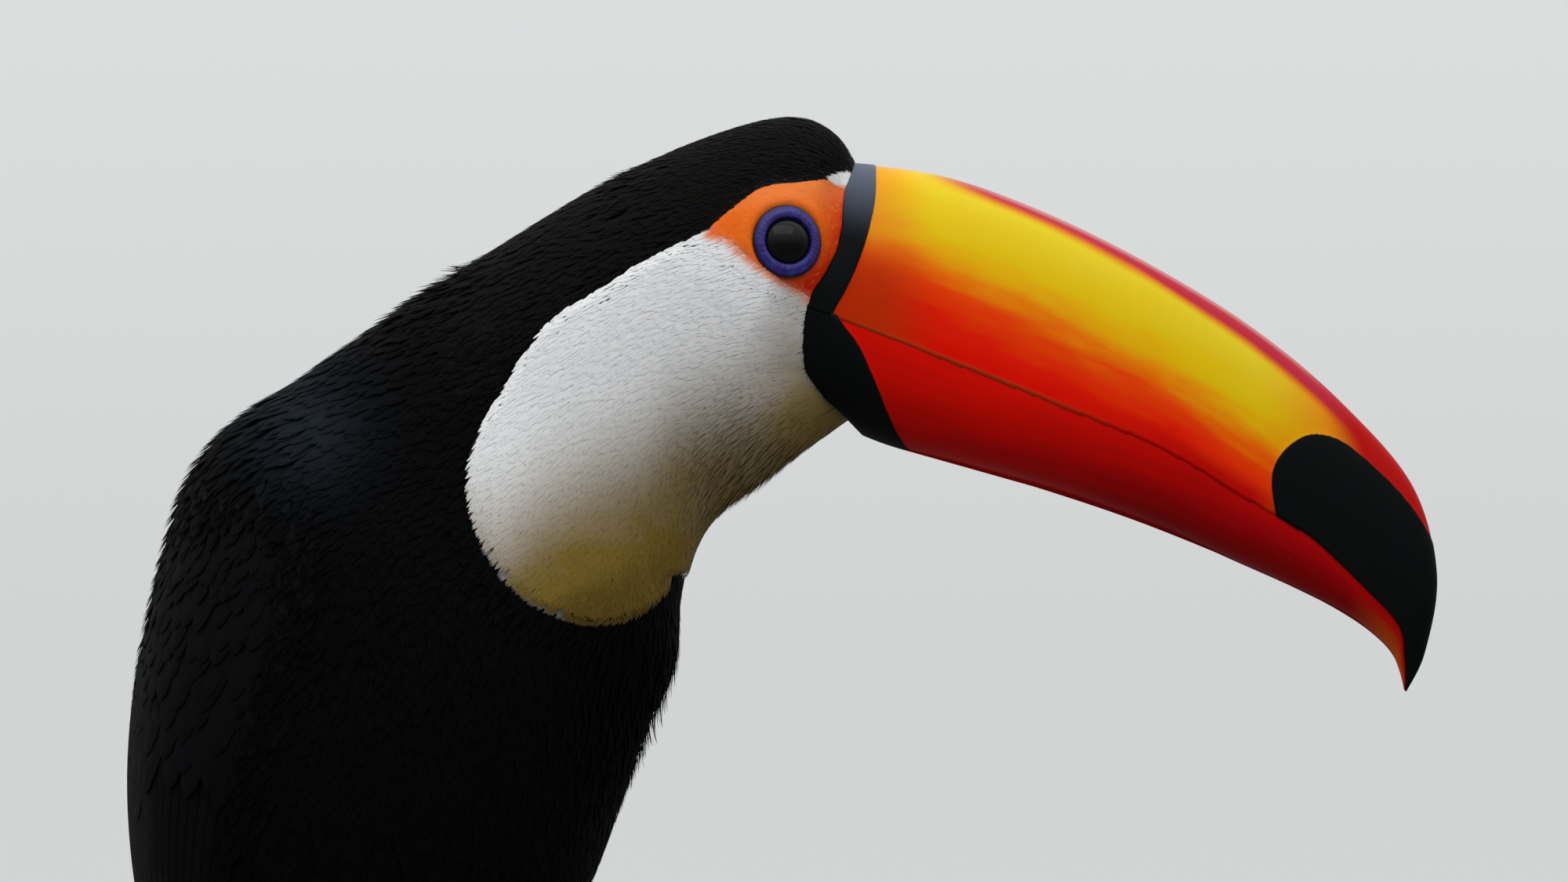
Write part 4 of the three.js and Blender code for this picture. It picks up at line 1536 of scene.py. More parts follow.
    def pieces(self) -> Iterable[tuple[Piece, str]]:
        """Grows the small feathers piece by piece, from crown to rump.

        Returns:
            Each piece, with the name of its finish.
        """
        black, back, right, left = Tract.BLACK, (-1.75, 1.75), (0.9, math.pi), (math.pi, TURN - 0.9)
        near = Cut(4.6, 0.95, 0.05, blunt=0.2, lift=0.12, spread=0.09, wander=0.16, slope=0.08, root=0.7)
        far = Cut(7.5, 1.6, 0.08, blunt=0.2, lift=0.12, spread=0.13, wander=0.15, slope=0.09)
        yield self.grow(
            "coat_crown", Stretch(black, near, 0.7, 11, (0.0, 0.2)),
            Stretch(black, far, 1.15, 12, (0.17, 0.33)),
        ), "crown_feathers"
        fine = Cut(6.4, 1.0, 0.034, blunt=0.1, lift=0.07, spread=0.035, cup=0.008, slope=0.022, root=0.85)
        spot = Cut(2.8, 0.42, 0.03, blunt=0.2, lift=0.16, spread=0.12, slope=0.04)
        for half, turns, seed in (("right", (0.0, math.pi), 31), ("left", (math.pi, TURN), 32)):
            yield self.grow(
                f"coat_bib_{half}", Stretch(Tract.BIB, fine, 0.67, seed, (0.0, 0.5), turns),
                Stretch(Tract.BROW_SPOT, spot, 0.3, seed + 4, (0.0, 0.14), turns),
            ), "bib_feathers"
        mantle = Cut(13.0, 3.2, 0.12, blunt=0.3, lift=0.36, spread=0.12, wander=0.1)
        low = Cut(17.0, 4.8, 0.16, blunt=0.35, spread=0.2, wander=0.1)
        yield self.grow(
            "coat_back", Stretch(black, mantle, 2.0, 21, (0.3, 0.56), back),
            Stretch(black, low, 3.0, 22, (0.53, 0.99), back),
        ), "black_feathers"
        breast = Cut(10.0, 1.8, 0.09, blunt=0.2, lift=0.1, spread=0.16, wander=0.16, slope=0.09)
        belly = Cut(15.0, 3.2, 0.14, blunt=0.25, lift=0.1, spread=0.2, wander=0.15)
        for half, turns, seed in (("right", right, 71), ("left", left, 81)):
            yield self.grow(
                f"coat_front_{half}", Stretch(black, breast, 1.25, seed, (0.28, 0.6), turns),
                Stretch(black, belly, 2.1, seed + 2, (0.56, 0.98), turns),
            ), "black_feathers"
        yield self.thighs(), "black_feathers"
        for name, tract, length, width, wander, seed in (
            ("vent", Tract.VENT, 15.0, 3.0, 0.12, 51), ("rump", Tract.RUMP_WHITE, 16.0, 3.2, 0.1, 61),
        ):
            cut = Cut(length, width, 0.14, rows=6, blunt=0.25, wander=wander)
            yield self.grow(f"coat_{name}", Stretch(tract, cut, 1.8, seed, (0.7, 0.99))), f"{name}_feathers"


# ---- Bill ----


@dataclass
class Bill:
    """The bill: stations of culmen, mouth line and lower edge with half the width, and its patches."""

    body: Body
    stations: Sequence = (
        ((84, 321.5), (78, 287), (78, 262), 21),
        ((103, 320.6), (100, 279), (103.6, 250.2), 21.2),
        ((124, 317), (126, 269), (124, 244.6), 20.4),
        ((150, 307.2), (151, 259), (150, 237.4), 18.8),
        ((177, 293.4), (176, 248.4), (175, 228.6), 16.4),
        ((201, 278.2), (196, 236.6), (195, 219.8), 13.8),
        ((222, 260.4), (213, 226.6), (211.5, 212.4), 11.2),
        ((240, 239.4), (227.5, 213.2), (225.5, 205), 8.4),
        ((246.2, 217), (236.4, 203.4), (234, 197.6), 5.6),
        ((243.4, 197), (238, 194.4), (236.6, 192.6), 3),
        ((238.6, 186.6), (238.2, 186.9), (238, 187.2), 0.9),
    )
    band: Outline = Outline((
        (103.4, 335), (103.4, 326), (103.4, 319), (103.3, 313.5), (102.6, 308.5), (100.8, 301.2),
        (98.4, 294.4), (95.6, 288.4), (93.4, 284.6), (91.8, 281.6), (89, 277), (80, 270), (62, 275),
        (56, 300), (60, 335), (85, 342),
    ))
    jaw: Outline = Outline((
        (86, 288), (90.6, 285), (93.2, 282), (95.6, 279.2), (97.8, 276.4), (99.8, 273), (101.6, 269),
        (103.4, 264.8), (105.2, 260.4), (107.4, 255.2), (110.2, 250.2), (113.2, 246.4), (115, 240),
        (100, 232), (74, 236), (70, 270),
    ))
    tip: Outline = Outline((
        (215, 252.2), (210.2, 250.8), (206, 247.2), (203.8, 243), (203.6, 238), (204.6, 232),
        (206.5, 226), (211, 218), (222, 206), (240, 182), (256, 186), (258, 212), (248.6, 219),
        (244.8, 225.6), (241.6, 231), (237.4, 236.4), (232.2, 241.8), (226.8, 246.6), (221.2, 250.6),
    ))
    squareness: float = 2.2
    rings: int = 300
    columns: int = 84
    under: int = 12
    lip: Sequence[Pair] = ((-2.2, 0.0), (-0.7, -0.25), (-0.15, 0.1), (0.0, 0.6))
    lip_step: float = 1 / 330
    edge_lap: float = 0.08  # how far the upper half laps over the lower
    tooth: float = 0.55
    tooth_gap: float = 8.5
    lower_lift: float = 0.9  # how far the lower edge rises into the teeth
    raised: float = 0.3  # of the dark patches

    def starts(self, form: RailSurface, turn: Array) -> Array:
        """Finds where the face line crosses the bill.

        Args:
            form: The outer form.
            turn: Angles round it.

        Returns:
            The share along it for each angle.
        """
        t = np.linspace(0, 0.3, 240)
        ahead = self.body.marks.ahead.within(form.at(t[:, None], turn[None, :]))
        first, column = np.argmax(ahead > 0, axis=0), np.arange(len(turn))
        low, high = ahead[first - 1, column], ahead[first, column]
        return t[first - 1] + (t[1] - t[0]) * (-low / (high - low))

    def build(self, upper: bool) -> Piece:
        """Makes one half of the bill.

        Args:
            upper: True for the upper half.

        Returns:
            The half.
        """
        culmen, mouth, lower, half = zip(*self.stations)
        form = RailSurface(culmen, lower, half, 1.0, self.squareness, mouth)
        share = np.linspace(-1, 1, self.columns)
        turn = np.sign(share) * (1 - (1 - np.abs(share)) ** 1.25) * (math.pi / 2)
        turn = turn + (0.0 if upper else math.pi)
        start = self.starts(form, turn)
        t = start + (1 - start) * np.linspace(0, 1, self.rings)[:, None]
        grow = np.zeros(t.shape)
        for row, (inward, ahead) in enumerate(self.lip):
            grow[row], t[row] = inward, start + ahead * self.lip_step
        turn = np.broadcast_to(turn, t.shape)
        points = form.at(t, turn)
        band, jaw, tip = (patch.within(points) for patch in (self.band, self.jaw, self.tip))
        top, middle, bottom = (spline(rail, t) for rail in (culmen, mouth, lower))
        height, rise = length_of(top - bottom), squared(np.cos(turn), self.squareness)
        patch = np.maximum(band, tip) if upper else jaw
        grow = grow + self.raised * smooth(patch, -0.25, 0.35) * smooth(height, 2, 20)
        near_edge = np.exp(-((np.abs(rise) * height / 1.1) ** 2)) * smooth(height, 3, 14)
        grow = grow + (self.edge_lap if upper else -self.edge_lap / 2) * near_edge
        points = form.at(t, turn, grow)
        x = points[..., 0]
        saw = (x / self.tooth_gap + 0.35 * np.sin(x * 0.31)) % 1.0
        saw = saw * smooth(x, 106, 122) * (1 - smooth(x, 205, 228))
        points[..., 2] += (-self.tooth * saw if upper else self.lower_lift) * near_edge
        values = {"rise": rise, "band": band, "jaw": jaw, "tip": tip}
        values["culmen"] = (1 - rise) * length_of(top - middle)
        for name, outer in values.items():
            inner = np.repeat(outer[:, -1:], self.under, axis=1)
            values[name] = np.concatenate([outer, inner], axis=1)
        mesh = MeshBuilder("bill_upper_shell" if upper else "bill_lower_shell")
        mesh.grid(np.concatenate([points, self.inside(points)], axis=1), BILL_STRIP, values)
        return mesh.make()

    def inside(self, points: Array) -> Array:
        """Closes a half across the mouth, a little hollow.

        Args:
            points: Rings of the outer face, from mouth edge to mouth edge.

        Returns:
            The points that close each ring.
        """
        share = np.linspace(0, 1, self.under + 2)[1:-1][None, :, None]
        first, last = points[:, -1:], points[:, :1]
        middle = points[:, self.columns // 2][:, None] - (first + last) / 2
        hollow = np.sin(share * math.pi) * np.minimum(0.09, 0.004 * length_of(last - first)[..., None])
        return first + (last - first) * share + middle * hollow


# ---- Eyes and claws ----


@dataclass
class Eye:
    """An eyeball in a wrinkled ring of bare skin."""

    ball_radius: float = 7.6
    ball_sunk: float = 4.5
    profile: Sequence[Pair] = (
        (0.5, -2.3), (5.0, -2.3), (8.2, -2.2), (8.95, -1.2), (9.05, -0.3), (8.8, 0.3), (8.3, 0.72),
        (7.6, 1.05), (7.1, 1.2), (6.65, 1.22), (6.3, 1.12), (6.02, 0.86), (5.85, 0.45), (5.4, 0.0),
        (2.5, -0.1), (0.5, -0.1),
    )  # of the ring: distance from the middle and height
    wrinkles: int = 38

    def ball(self, name: str, side: float) -> Piece:
        """Makes the eyeball.

        Args:
            name: The piece's name.
            side: -1 on the right, 1 on the left.

        Returns:
            The eyeball.
        """
        fall = np.radians(np.linspace(1.5, 178, 72))[:, None]
        radius, out = self.ball_radius * np.sin(fall), self.ball_radius * np.cos(fall) - self.ball_sunk
        iris = np.where(fall < math.pi / 2, radius, 99.0)
        return solid(name, EyeSeat(side).polar(radius, circle(96), out), {"iris": iris})

    def ring(self, name: str, side: float) -> Piece:
        """Makes the ring of skin.

        Args:
            name: The piece's name.
            side: -1 on the right, 1 on the left.

        Returns:
            The ring.
        """
        t = np.linspace(0, 1, 110)
        line, angle = spline(self.profile, t), circle(200)
        radius, out = line[:, :1], line[:, 1:]
        skin = smooth(t[:, None], 0.32, 0.42) * (1 - smooth(t[:, None], 0.66, 0.74))
        waver = 1.3 * np.sin(3 * angle + 0.7) + 0.8 * np.sin(5 * angle - 1.1) + 0.35 * np.sin(radius * 2.6)
        crease = np.abs(np.sin(self.wrinkles / 2 * angle + waver)) ** 0.7
        folds = 0.5 + 0.5 * np.cos(radius * 5.2 + 0.6 * np.sin(4 * angle))
        out = out + skin * (0.07 * (crease - 0.6) + 0.05 * (folds - 0.5))
        oval = 1 + 0.03 * np.cos(2 * (angle - math.pi / 2)) * smooth(radius, 5, 8.5)
        points = EyeSeat(side).polar(radius * oval, angle, out)
        return solid(name, points, {"crease": skin * crease, "from_eye": radius})


def solid(name: str, points: Array, values: dict[str, Array]) -> Piece:
    """Makes a piece of one closed tube.

    Args:
        name: The piece's name.
        points: The points, as rings by columns by 3.
        values: Surface values, by ring or by ring and column.

    Returns:
        The piece.
    """
    mesh = MeshBuilder(name)
    full = {key: np.broadcast_to(numbers, points.shape[:2]) for key, numbers in values.items()}
    mesh.grid(points, WHOLE_STRIP, full)
    return mesh.make()


def build_claw(legs: Legs, toe: str, side_name: str) -> Piece:
    """Makes one claw.

    Args:
        legs: The sizes of the legs.
        toe: The toe that it ends.
        side_name: right or left.

    Returns:
        The claw.
    """
    t, turn = np.linspace(0, 1, 44)[:, None], circle(24)
    groove = -0.12 * np.exp(-((np.sin(turn) ** 2 - 1) ** 2) / 0.02) * (1 - t)
    points = legs.claw(toe, SIDES[side_name]).at(t, turn, groove)
    return solid(f"horn_{toe}_{side_name}", points, {"along": t})


# ---- Finishes ----


@dataclass(frozen=True)
class FeatherFinish:
    """Feathers: a deep and a light colour, a gloss and fine barbs, with a second colour laid on by a surface
    value: a real buff partly darkened as painted shade on the bib, a painted blue sheen on black feathers.
    """

    name: str
    deep: Colour
    light: Colour
    roughness: float
    barb: float = 0.5  # spacing of the barbs, in millimetres
    relief: float = 0.05  # height of the barbs, in millimetres
    # second colour: on the bib a buff tint that also stands in for shade, on black feathers a painted blue
    # sheen
    stain_shade_and_sheen: Optional[Colour] = None
    # painted shade, deepest at the bib's lower edge
    deepest_painted_shade: Optional[Colour] = None
    blush: Optional[Colour] = None
    bare: Colour = (0.86, 0.15, 0.012)
    gloss: float = 0.2

    def make(self) -> Material:
        """Makes the material.

        Returns:
            The material.
        """
        net = Net(self.name)
        tone, reach = net.value("tone"), net.value("reach")
        cloud = net.noise(60.0, 3.0)
        colour = net.blend(tone * 0.45 + cloud * 0.5 + reach * 0.25 - 0.1, self.deep, self.light)
        # painted shade and sheen: darkens the bib towards its lower edge, deepest at the edge, and lays a
        # blue sheen on black feathers
        if self.stain_shade_and_sheen:
            stain_shade_and_sheen = net.value("stain_shade_and_sheen") * (cloud * 0.24 + 0.88)
            colour = net.blend(stain_shade_and_sheen, colour, self.stain_shade_and_sheen)
            if self.deepest_painted_shade:
                colour = net.blend(stain_shade_and_sheen.rise(1.02, 1.3), colour, self.deepest_painted_shade)
        if self.blush:
            blush = net.value("blush") + (tone - 0.5) * 0.3
            colour = net.blend(blush.rise(0.05, 0.8), colour, self.blush)
            colour = net.blend(blush.rise(0.6, 1.15), colour, self.bare)
        across, far, _ = net.parts(net.node("ShaderNodeUVMap", {"uv_map": "Vane"}, {}))
        slant = far * 10.0 - net.maths("ABSOLUTE", across * 10.0, 0.0) * 1.1
        barbs = net.maths("SINE", slant * (TURN / self.barb), 0.0)
        return net.finish({
            "Base Color": colour, "Roughness": cloud * 0.16 + tone * 0.1 + (self.roughness - 0.12),
            "Normal": net.bump(barbs * 0.5 + 0.5, self.relief, 0.8), "Specular IOR Level": self.gloss,
        })


@dataclass(frozen=True)
class SkinFinish:
    """The skin: orange round the eye with painted shade low down and a painted highlight at the top, pale
    under the bib, dark under the coat, blue-grey on the feet.
    """

    orange: Colour = (0.90, 0.155, 0.006)
    # redder towards the face line and lower down: partly the skin's own flush, partly painted shade
    flush_and_shade: Colour = (0.70, 0.018, 0.002)
    # painted highlight: a paler peach towards the top of the bare skin
    brow: Colour = (0.98, 0.34, 0.10)
    speck: Colour = (0.97, 0.27, 0.02)
    rosy: Colour = (0.80, 0.15, 0.07)
    pink: Colour = (0.84, 0.42, 0.34)
    pale: Colour = (0.78, 0.74, 0.70)
    dark: Colour = (0.0030, 0.0030, 0.0034)
    red: Colour = (0.16, 0.012, 0.010)
    foot: Colour = (0.085, 0.125, 0.20)
    foot_groove: Colour = (0.022, 0.030, 0.05)

    def make(self) -> Material:
        """Makes the material.

        Returns:
            The material.
        """
        net = Net("skin")
        bare, bib, face = net.value("bare"), net.value("bib"), net.value("face")
        cloud, fine = net.noise(140.0, 4.0), net.noise(900.0, 3.0)
        place = net.place()
        height = net.parts(place)[2] * (1 / MM)
        waver = fine - 0.5
        # redder and darker near the face line and lower down: partly a real flush, partly painted shade
        warm = face.rise(-8.0, 0.5) * 0.9 + (1 - height.rise(286.0, 300.0)) * 0.45 + (cloud - 0.5) * 0.6
        orange = net.blend(warm, self.orange, self.flush_and_shade)
        # painted highlight: paler towards the top
        orange = net.blend(height.rise(306.0, 317.0) * 0.45, orange, self.brow)
        orange = net.blend(fine.rise(0.5, 0.72) * 0.3, orange, self.speck)
        by_bib = (2.4 - bare + waver * 1.2).rise(0.0, 2.4) * bib.rise(-2.6, -0.2)
        foot = net.blend(net.value("scute") * 0.85 + (cloud - 0.5) * 0.4, self.foot, self.foot_groove)
        leg = net.value("leg")
        colour = self.dark
        for share, over in (
            (bib.rise(-0.6, 0.6), self.pale),
            (net.value("vent").rise(-2.0, 1.0), self.red),
            (net.value("rump").rise(-2.0, 1.0), self.pale),
            ((bare + waver * 1.2).rise(-2.6, 0.3) * bib.rise(0.0, 1.5), self.pink),
            ((bare + waver * 0.2).rise(-0.15, 0.15), orange),
            (by_bib * bare.rise(-0.1, 0.1) * 0.55, self.rosy),
            ((net.value("spot") + waver * 2.0).rise(-0.2, 1.4), self.pale),
            (leg, foot),
        ):
            colour = net.blend(share, colour, over)
        sockets = {"Vector": place, "Scale": 1150.0}
        grains = net.node("ShaderNodeTexVoronoi", {"feature": "SMOOTH_F1"}, sockets)
        normal = net.bump(net.noise(260.0, 3.0), 0.4, 0.3, net.bump(1 - grains, 0.16, 0.5))
        return net.finish({
            "Base Color": colour, "Roughness": cloud * 0.2 + leg * 0.05 + 0.38, "Normal": normal,
            "Specular IOR Level": 0.1,
        })


@dataclass(frozen=True)
class BillFinish:
    """Satin horn, yellow above running through orange into red, with blue-black patches, a painted sky
    reflection on the band's upper side and a painted highlight along the culmen's edge.
    """

    name: str
    upper: bool
    ramp: Sequence[tuple[float, Colour]] = (
        (0.0, (0.86, 0.004, 0.0005)),
        (0.17, (0.92, 0.012, 0.0005)),
        (0.34, (0.95, 0.060, 0.001)),
        (0.43, (0.94, 0.17, 0.001)),
        (0.54, (0.90, 0.38, 0.002)),
        (0.66, (0.84, 0.56, 0.002)),
        (1.0, (0.80, 0.61, 0.022)),
    )
    by_band: Colour = (0.84, 0.26, 0.012)
    low_base: Colour = (0.54, 0.034, 0.0008)
    by_mouth: Colour = (0.52, 0.0015, 0.001)
    lip: Colour = (0.40, 0.085, 0.016)
    by_tip: Colour = (0.84, 0.20, 0.002)
    fringe: Colour = (0.72, 0.085, 0.008)
    crimson: Colour = (0.50, 0.022, 0.045)
    # painted highlight: a paler pink line along the culmen's edge
    ridge: Colour = (0.60, 0.24, 0.22)
    beyond: Colour = (0.48, 0.004, 0.002)
    scarlet: Colour = (0.80, 0.005, 0.0005)
    wine: Colour = (0.36, 0.001, 0.003)
    hook: Colour = (0.80, 0.12, 0.01)
    # painted reflection of the sky: the band's upper side lighter blue-grey than its black
    band: Colour = (0.115, 0.135, 0.180)
    black: Colour = (0.0038, 0.0045, 0.0048)

    def make(self) -> Material:
        """Makes the material.

        Returns:
            The material.
        """
        net = Net(self.name)
        along, _, up = net.parts(net.place())
        x, height, rise = along * (1 / MM) + MIDDLE_X, up * (1 / MM), net.value("rise")
        drawn_out = net.joined((x + height * -0.55) * 0.035, rise * 9.0, along * 12.0)
        streaks, cloud, fine = net.noise(1.0, 4.0, drawn_out), net.noise(45.0, 3.0), net.noise(500.0, 3.0)
        shade = self.upper_colour if self.upper else self.lower_colour
        waver = (fine - 0.5) * 0.35
        dark = (net.value("tip" if self.upper else "jaw") + waver).rise(-0.22, 0.22)
        colour = net.blend(dark, shade(net, x, rise, streaks, cloud), self.black)
        if self.upper:
            band = (net.value("band") + waver * 0.6).rise(-0.2, 0.2)
            # painted reflection: the band turns lighter blue-grey towards its top
            pale = rise.rise(0.5, 1.04) + (cloud - 0.5) * 0.12
            colour = net.blend(band, colour, net.blend(pale, self.black, self.band))
            dark = net.maths("MAXIMUM", dark, band)
        growth = net.noise(1.0, 5.0, net.joined(x * 0.35, rise * 2.2, height * 0.02))
        return net.finish({
            "Base Color": colour, "Roughness": cloud * 0.12 + dark * 0.14 + streaks * 0.08 + 0.25,
            "Normal": net.bump(streaks * 0.6 + growth * 0.4, 0.35, 0.35, net.bump(fine, 0.05, 0.5)),
            "Specular IOR Level": 0.05,
        })

    def upper_colour(self, net: Net, *reads: Wire) -> Wire:
        """Colours the upper half, before its dark patches, with a painted highlight along the culmen's edge.

        Args:
            net: The net it is made in.
            reads: Millimetres along, rise from the mouth line, streaks and clouds.

        Returns:
            The colour.
        """
        x, rise, streaks, cloud = reads
        level = rise + (streaks - 0.5) * 0.26 + (cloud - 0.5) * 0.10 + x.rise(120.0, 215.0) * 0.12
        level = level - (1 - x.rise(102.0, 130.0)) * 0.10
        colour = net.node("ShaderNodeValToRGB", {"stops": self.ramp}, {"Fac": level})
        culmen, started = net.value("culmen"), x.rise(112.0, 134.0)
        width = x.rise(112.0, 205.0) * 2.9 + 1.3 + (streaks - 0.5) * 1.4
        lip = (1 - rise.rise(0.008, 0.03)) * x.rise(95.0, 100.0) * (1 - x.rise(135.0, 175.0))
        # painted highlight along the culmen's edge
        ridge = (1.5 - culmen).rise(0.0, 1.1) * x.rise(118.0, 140.0) * (1 - x.rise(204.0, 222.0))
        for share, over in (
            ((1 - x.rise(102.0, 120.0)) * rise.rise(0.25, 0.7) * 0.75, self.by_band),
            ((1 - x.rise(102.0, 122.0)) * (1 - rise.rise(0.3, 0.62)) * 0.85, self.low_base),
            ((1 - rise.rise(0.02, 0.17)) * x.rise(140.0, 195.0) * 0.85, self.by_mouth),
            (lip * 0.6, self.lip),
            (x.rise(198.0, 223.0) * 0.9, self.by_tip),
            ((width + 1.3 - culmen).rise(-1.3, 1.3) * started * 0.85, self.fringe),
            ((width - culmen).rise(-0.8, 0.8) * started, self.crimson),
            (ridge * 0.75, self.ridge),
            ((x + culmen * -0.4).rise(213.0, 226.0), self.beyond),
        ):
            colour = net.blend(share, colour, over)
        return colour

    def lower_colour(self, net: Net, *reads: Wire) -> Wire:
        """Colours the lower half, before its dark patch.

        Args:
            net: The net it is made in.
            reads: The same as for the upper half.

        Returns:
            The colour.
        """
        x, rise, streaks, cloud = reads
        fall = 0 - rise
        deep = x.rise(118.0, 215.0) * 0.75 + fall.rise(0.1, 1.0) * 0.45 + (streaks - 0.5) * 0.5
        colour = net.blend(deep + (cloud - 0.5) * 0.2, self.scarlet, self.wine)
        return net.blend(x.rise(222.0, 236.0) * fall.rise(0.2, 0.9) * 0.8, colour, self.hook)


@dataclass(frozen=True)
class EyeballFinish:
    """A wet, nearly black eye with a dark brown iris."""

    pupil: Colour = (0.0015, 0.0015, 0.002)
    iris: Colour = (0.003, 0.002, 0.0015)
    fibre: Colour = (0.006, 0.004, 0.003)
    edge: Colour = (0.003, 0.003, 0.004)

    def make(self) -> Material:
        """Makes the material.

        Returns:
            The material.
        """
        net = Net("eyeball")
        radius, fibres = net.value("iris"), net.noise(2600.0, 3.0)
        colour = net.blend(radius.rise(3.5, 3.9), self.pupil, net.blend(fibres, self.iris, self.fibre))
        colour = net.blend(radius.rise(4.5, 5.2), colour, self.edge)
        return net.finish({"Base Color": colour, "Roughness": fibres * 0.02 + 0.03, "IOR": 1.27})


@dataclass(frozen=True)
class EyeRingFinish:
    """Wrinkled blue-violet skin, with painted shade in its creases."""

    blue: Colour = (0.034, 0.032, 0.24)
    violet: Colour = (0.026, 0.012, 0.13)
    # darkens the lid margin and the outer edge, and as painted shade the wrinkles' creases
    dark: Colour = (0.005, 0.004, 0.028)
    speck: Colour = (0.08, 0.08, 0.36)

    def make(self) -> Material:
        """Makes the material.

        Returns:
            The material.
        """
        net = Net("eye_ring")
        crease, radius = net.value("crease"), net.value("from_eye")
        cloud, fine = net.noise(420.0, 4.0), net.noise(1900.0, 3.0)
        colour = net.blend(cloud.rise(0.35, 0.68), self.violet, self.blue)
        edges = (1 - radius.rise(5.4, 5.9)) * 0.7 + radius.rise(8.0, 8.9)
        # darker at the lid margin and the outer edge, and a little darker in the creases as painted shade
        colour = net.blend(edges * 0.8 + (1 - crease) * 0.15, colour, self.dark)
        colour = net.blend(fine.rise(0.58, 0.75) * 0.25, colour, self.speck)
        return net.finish({
            "Base Color": colour, "Roughness": cloud * 0.2 + 0.3, "Normal": net.bump(fine, 0.12, 0.6),
            "Specular IOR Level": 0.3,
        })


@dataclass(frozen=True)
class HornFinish:
    """Dark claws, paler towards the point, with fine lengthwise grain."""

    base: Colour = (0.018, 0.018, 0.022)
    point: Colour = (0.07, 0.06, 0.055)

    def make(self) -> Material:
        """Makes the material.

        Returns:
            The material.
        """
        net = Net("claw_horn")
        cloud = net.noise(600.0, 4.0)
        pale = net.value("along").rise(0.5, 1.0) * 0.6 + (cloud - 0.5) * 0.5
        colour = net.blend(pale, self.base, self.point)
        normal = net.bump(cloud, 0.08, 0.6)
        return net.finish({"Base Color": colour, "Roughness": cloud * 0.2 + 0.26, "Normal": normal})


# ---- Studio ----


@dataclass
class Studio:
    """A pale sweep, a soft lamp, an overcast sky and the camera; lengths in metres."""

    floor_radius: float = 9.0
    sweep: float = 6.0  # radius of the curve from floor to wall
    flat_rings: int = 10
    curved_rings: int = 18
    columns: int = 72
    floor_colour: Colour = (0.38, 0.38, 0.375)
    wall_colour: Colour = (0.86, 0.86, 0.85)
    glow: Colour = (0.9, 0.9, 0.89)
    lamp_place: Place = (0.02, -0.75, 1.55)
    lamp_aim: Place = (0.05, 0.0, 0.27)
    lamp_size: Pair = (1.9, 1.0)
    lamp_power: float = 6.0
    lamp_colour: Colour = (0.97, 0.985, 1.0)
    low_sky: float = 0.21
    high_sky: float = 1.43
    sky_colour: Colour = (0.95, 0.975, 1.0)
    camera_place: Place = (0.06593, -2.22, 0.2505)
    lens: float = 200.0

    def build(self) -> None:
        """Sets up the sweep, the lamp, the sky and the camera."""
        for add in (self.add_sweep, self.add_lamp, self.add_sky, self.add_camera):
            add()

    def add_sweep(self) -> None:
        """Adds a pale floor that curves up into a wall far away on all sides."""
        angle, lean = circle(self.columns), np.radians(np.linspace(5, 90, self.curved_rings))
        flat = np.zeros(self.flat_rings)
        reach = np.linspace(0.01, self.floor_radius, self.flat_rings)
        reach = np.concatenate([reach, self.floor_radius + self.sweep * np.sin(lean)])[:, None]
        height = np.concatenate([flat, self.sweep * (1 - np.cos(lean))])[:, None]
        steep = np.concatenate([flat, np.sin(lean) ** 2])[:, None]
        rings = np.stack([reach * np.cos(angle), reach * np.sin(angle), height + 0 * angle], axis=-1) / MM
        mesh = MeshBuilder("floor")
        mesh.grid(rings, Strip((0.0, 0.0), (1.0, 1.0)), {"steep": steep + 0 * angle})
        floor = mesh.make()
        floor.data.flip_normals()
        net = Net("pale_floor")
        colour = net.blend(net.value("steep"), self.floor_colour, self.wall_colour)
        floor.data.materials.append(net.finish({
            "Base Color": colour, "Roughness": 0.8, "Emission Color": self.glow, "Emission Strength": 0.2,
        }))
        floor.visible_diffuse = floor.visible_glossy = floor.visible_shadow = False

    def add_lamp(self) -> None:
        """Adds a soft lamp."""
        light = bpy.data.lights.new("key", "AREA")
        light.shape, light.size, light.size_y = "RECTANGLE", *self.lamp_size
        light.energy, light.color = self.lamp_power, self.lamp_colour
        lamp = bpy.data.objects.new("key", light)
        lamp.location = self.lamp_place
        lamp.rotation_euler = (Vector(self.lamp_aim) - lamp.location).to_track_quat("-Z", "Y").to_euler()
        bpy.context.scene.collection.objects.link(lamp)

    def add_sky(self) -> None:
        """Adds a soft ceiling of light, bright overhead and dim towards the floor."""
        net = Net("studio", world=True)
        up = net.parts(net.node("ShaderNodeTexCoord", {}, {}, "Generated"))[2]
        strength = up.rise(-0.15, 0.95, self.low_sky, self.high_sky)
        sockets = {"Color": self.sky_colour, "Strength": strength}
        bpy.context.scene.world = net.finish(sockets, world=True)

    def add_camera(self) -> None:
        """Adds the camera, level and square to the bird's right side."""
        data = bpy.data.cameras.new("camera")
        data.lens, data.sensor_width = self.lens, 36.0
        data.clip_start, data.clip_end = 0.05, 60.0
        camera = bpy.data.objects.new("camera", data)
        camera.location, camera.rotation_euler = self.camera_place, (math.pi / 2, 0.0, 0.0)
        bpy.context.scene.collection.objects.link(camera)
        bpy.context.scene.camera = camera


# ---- The bird ----


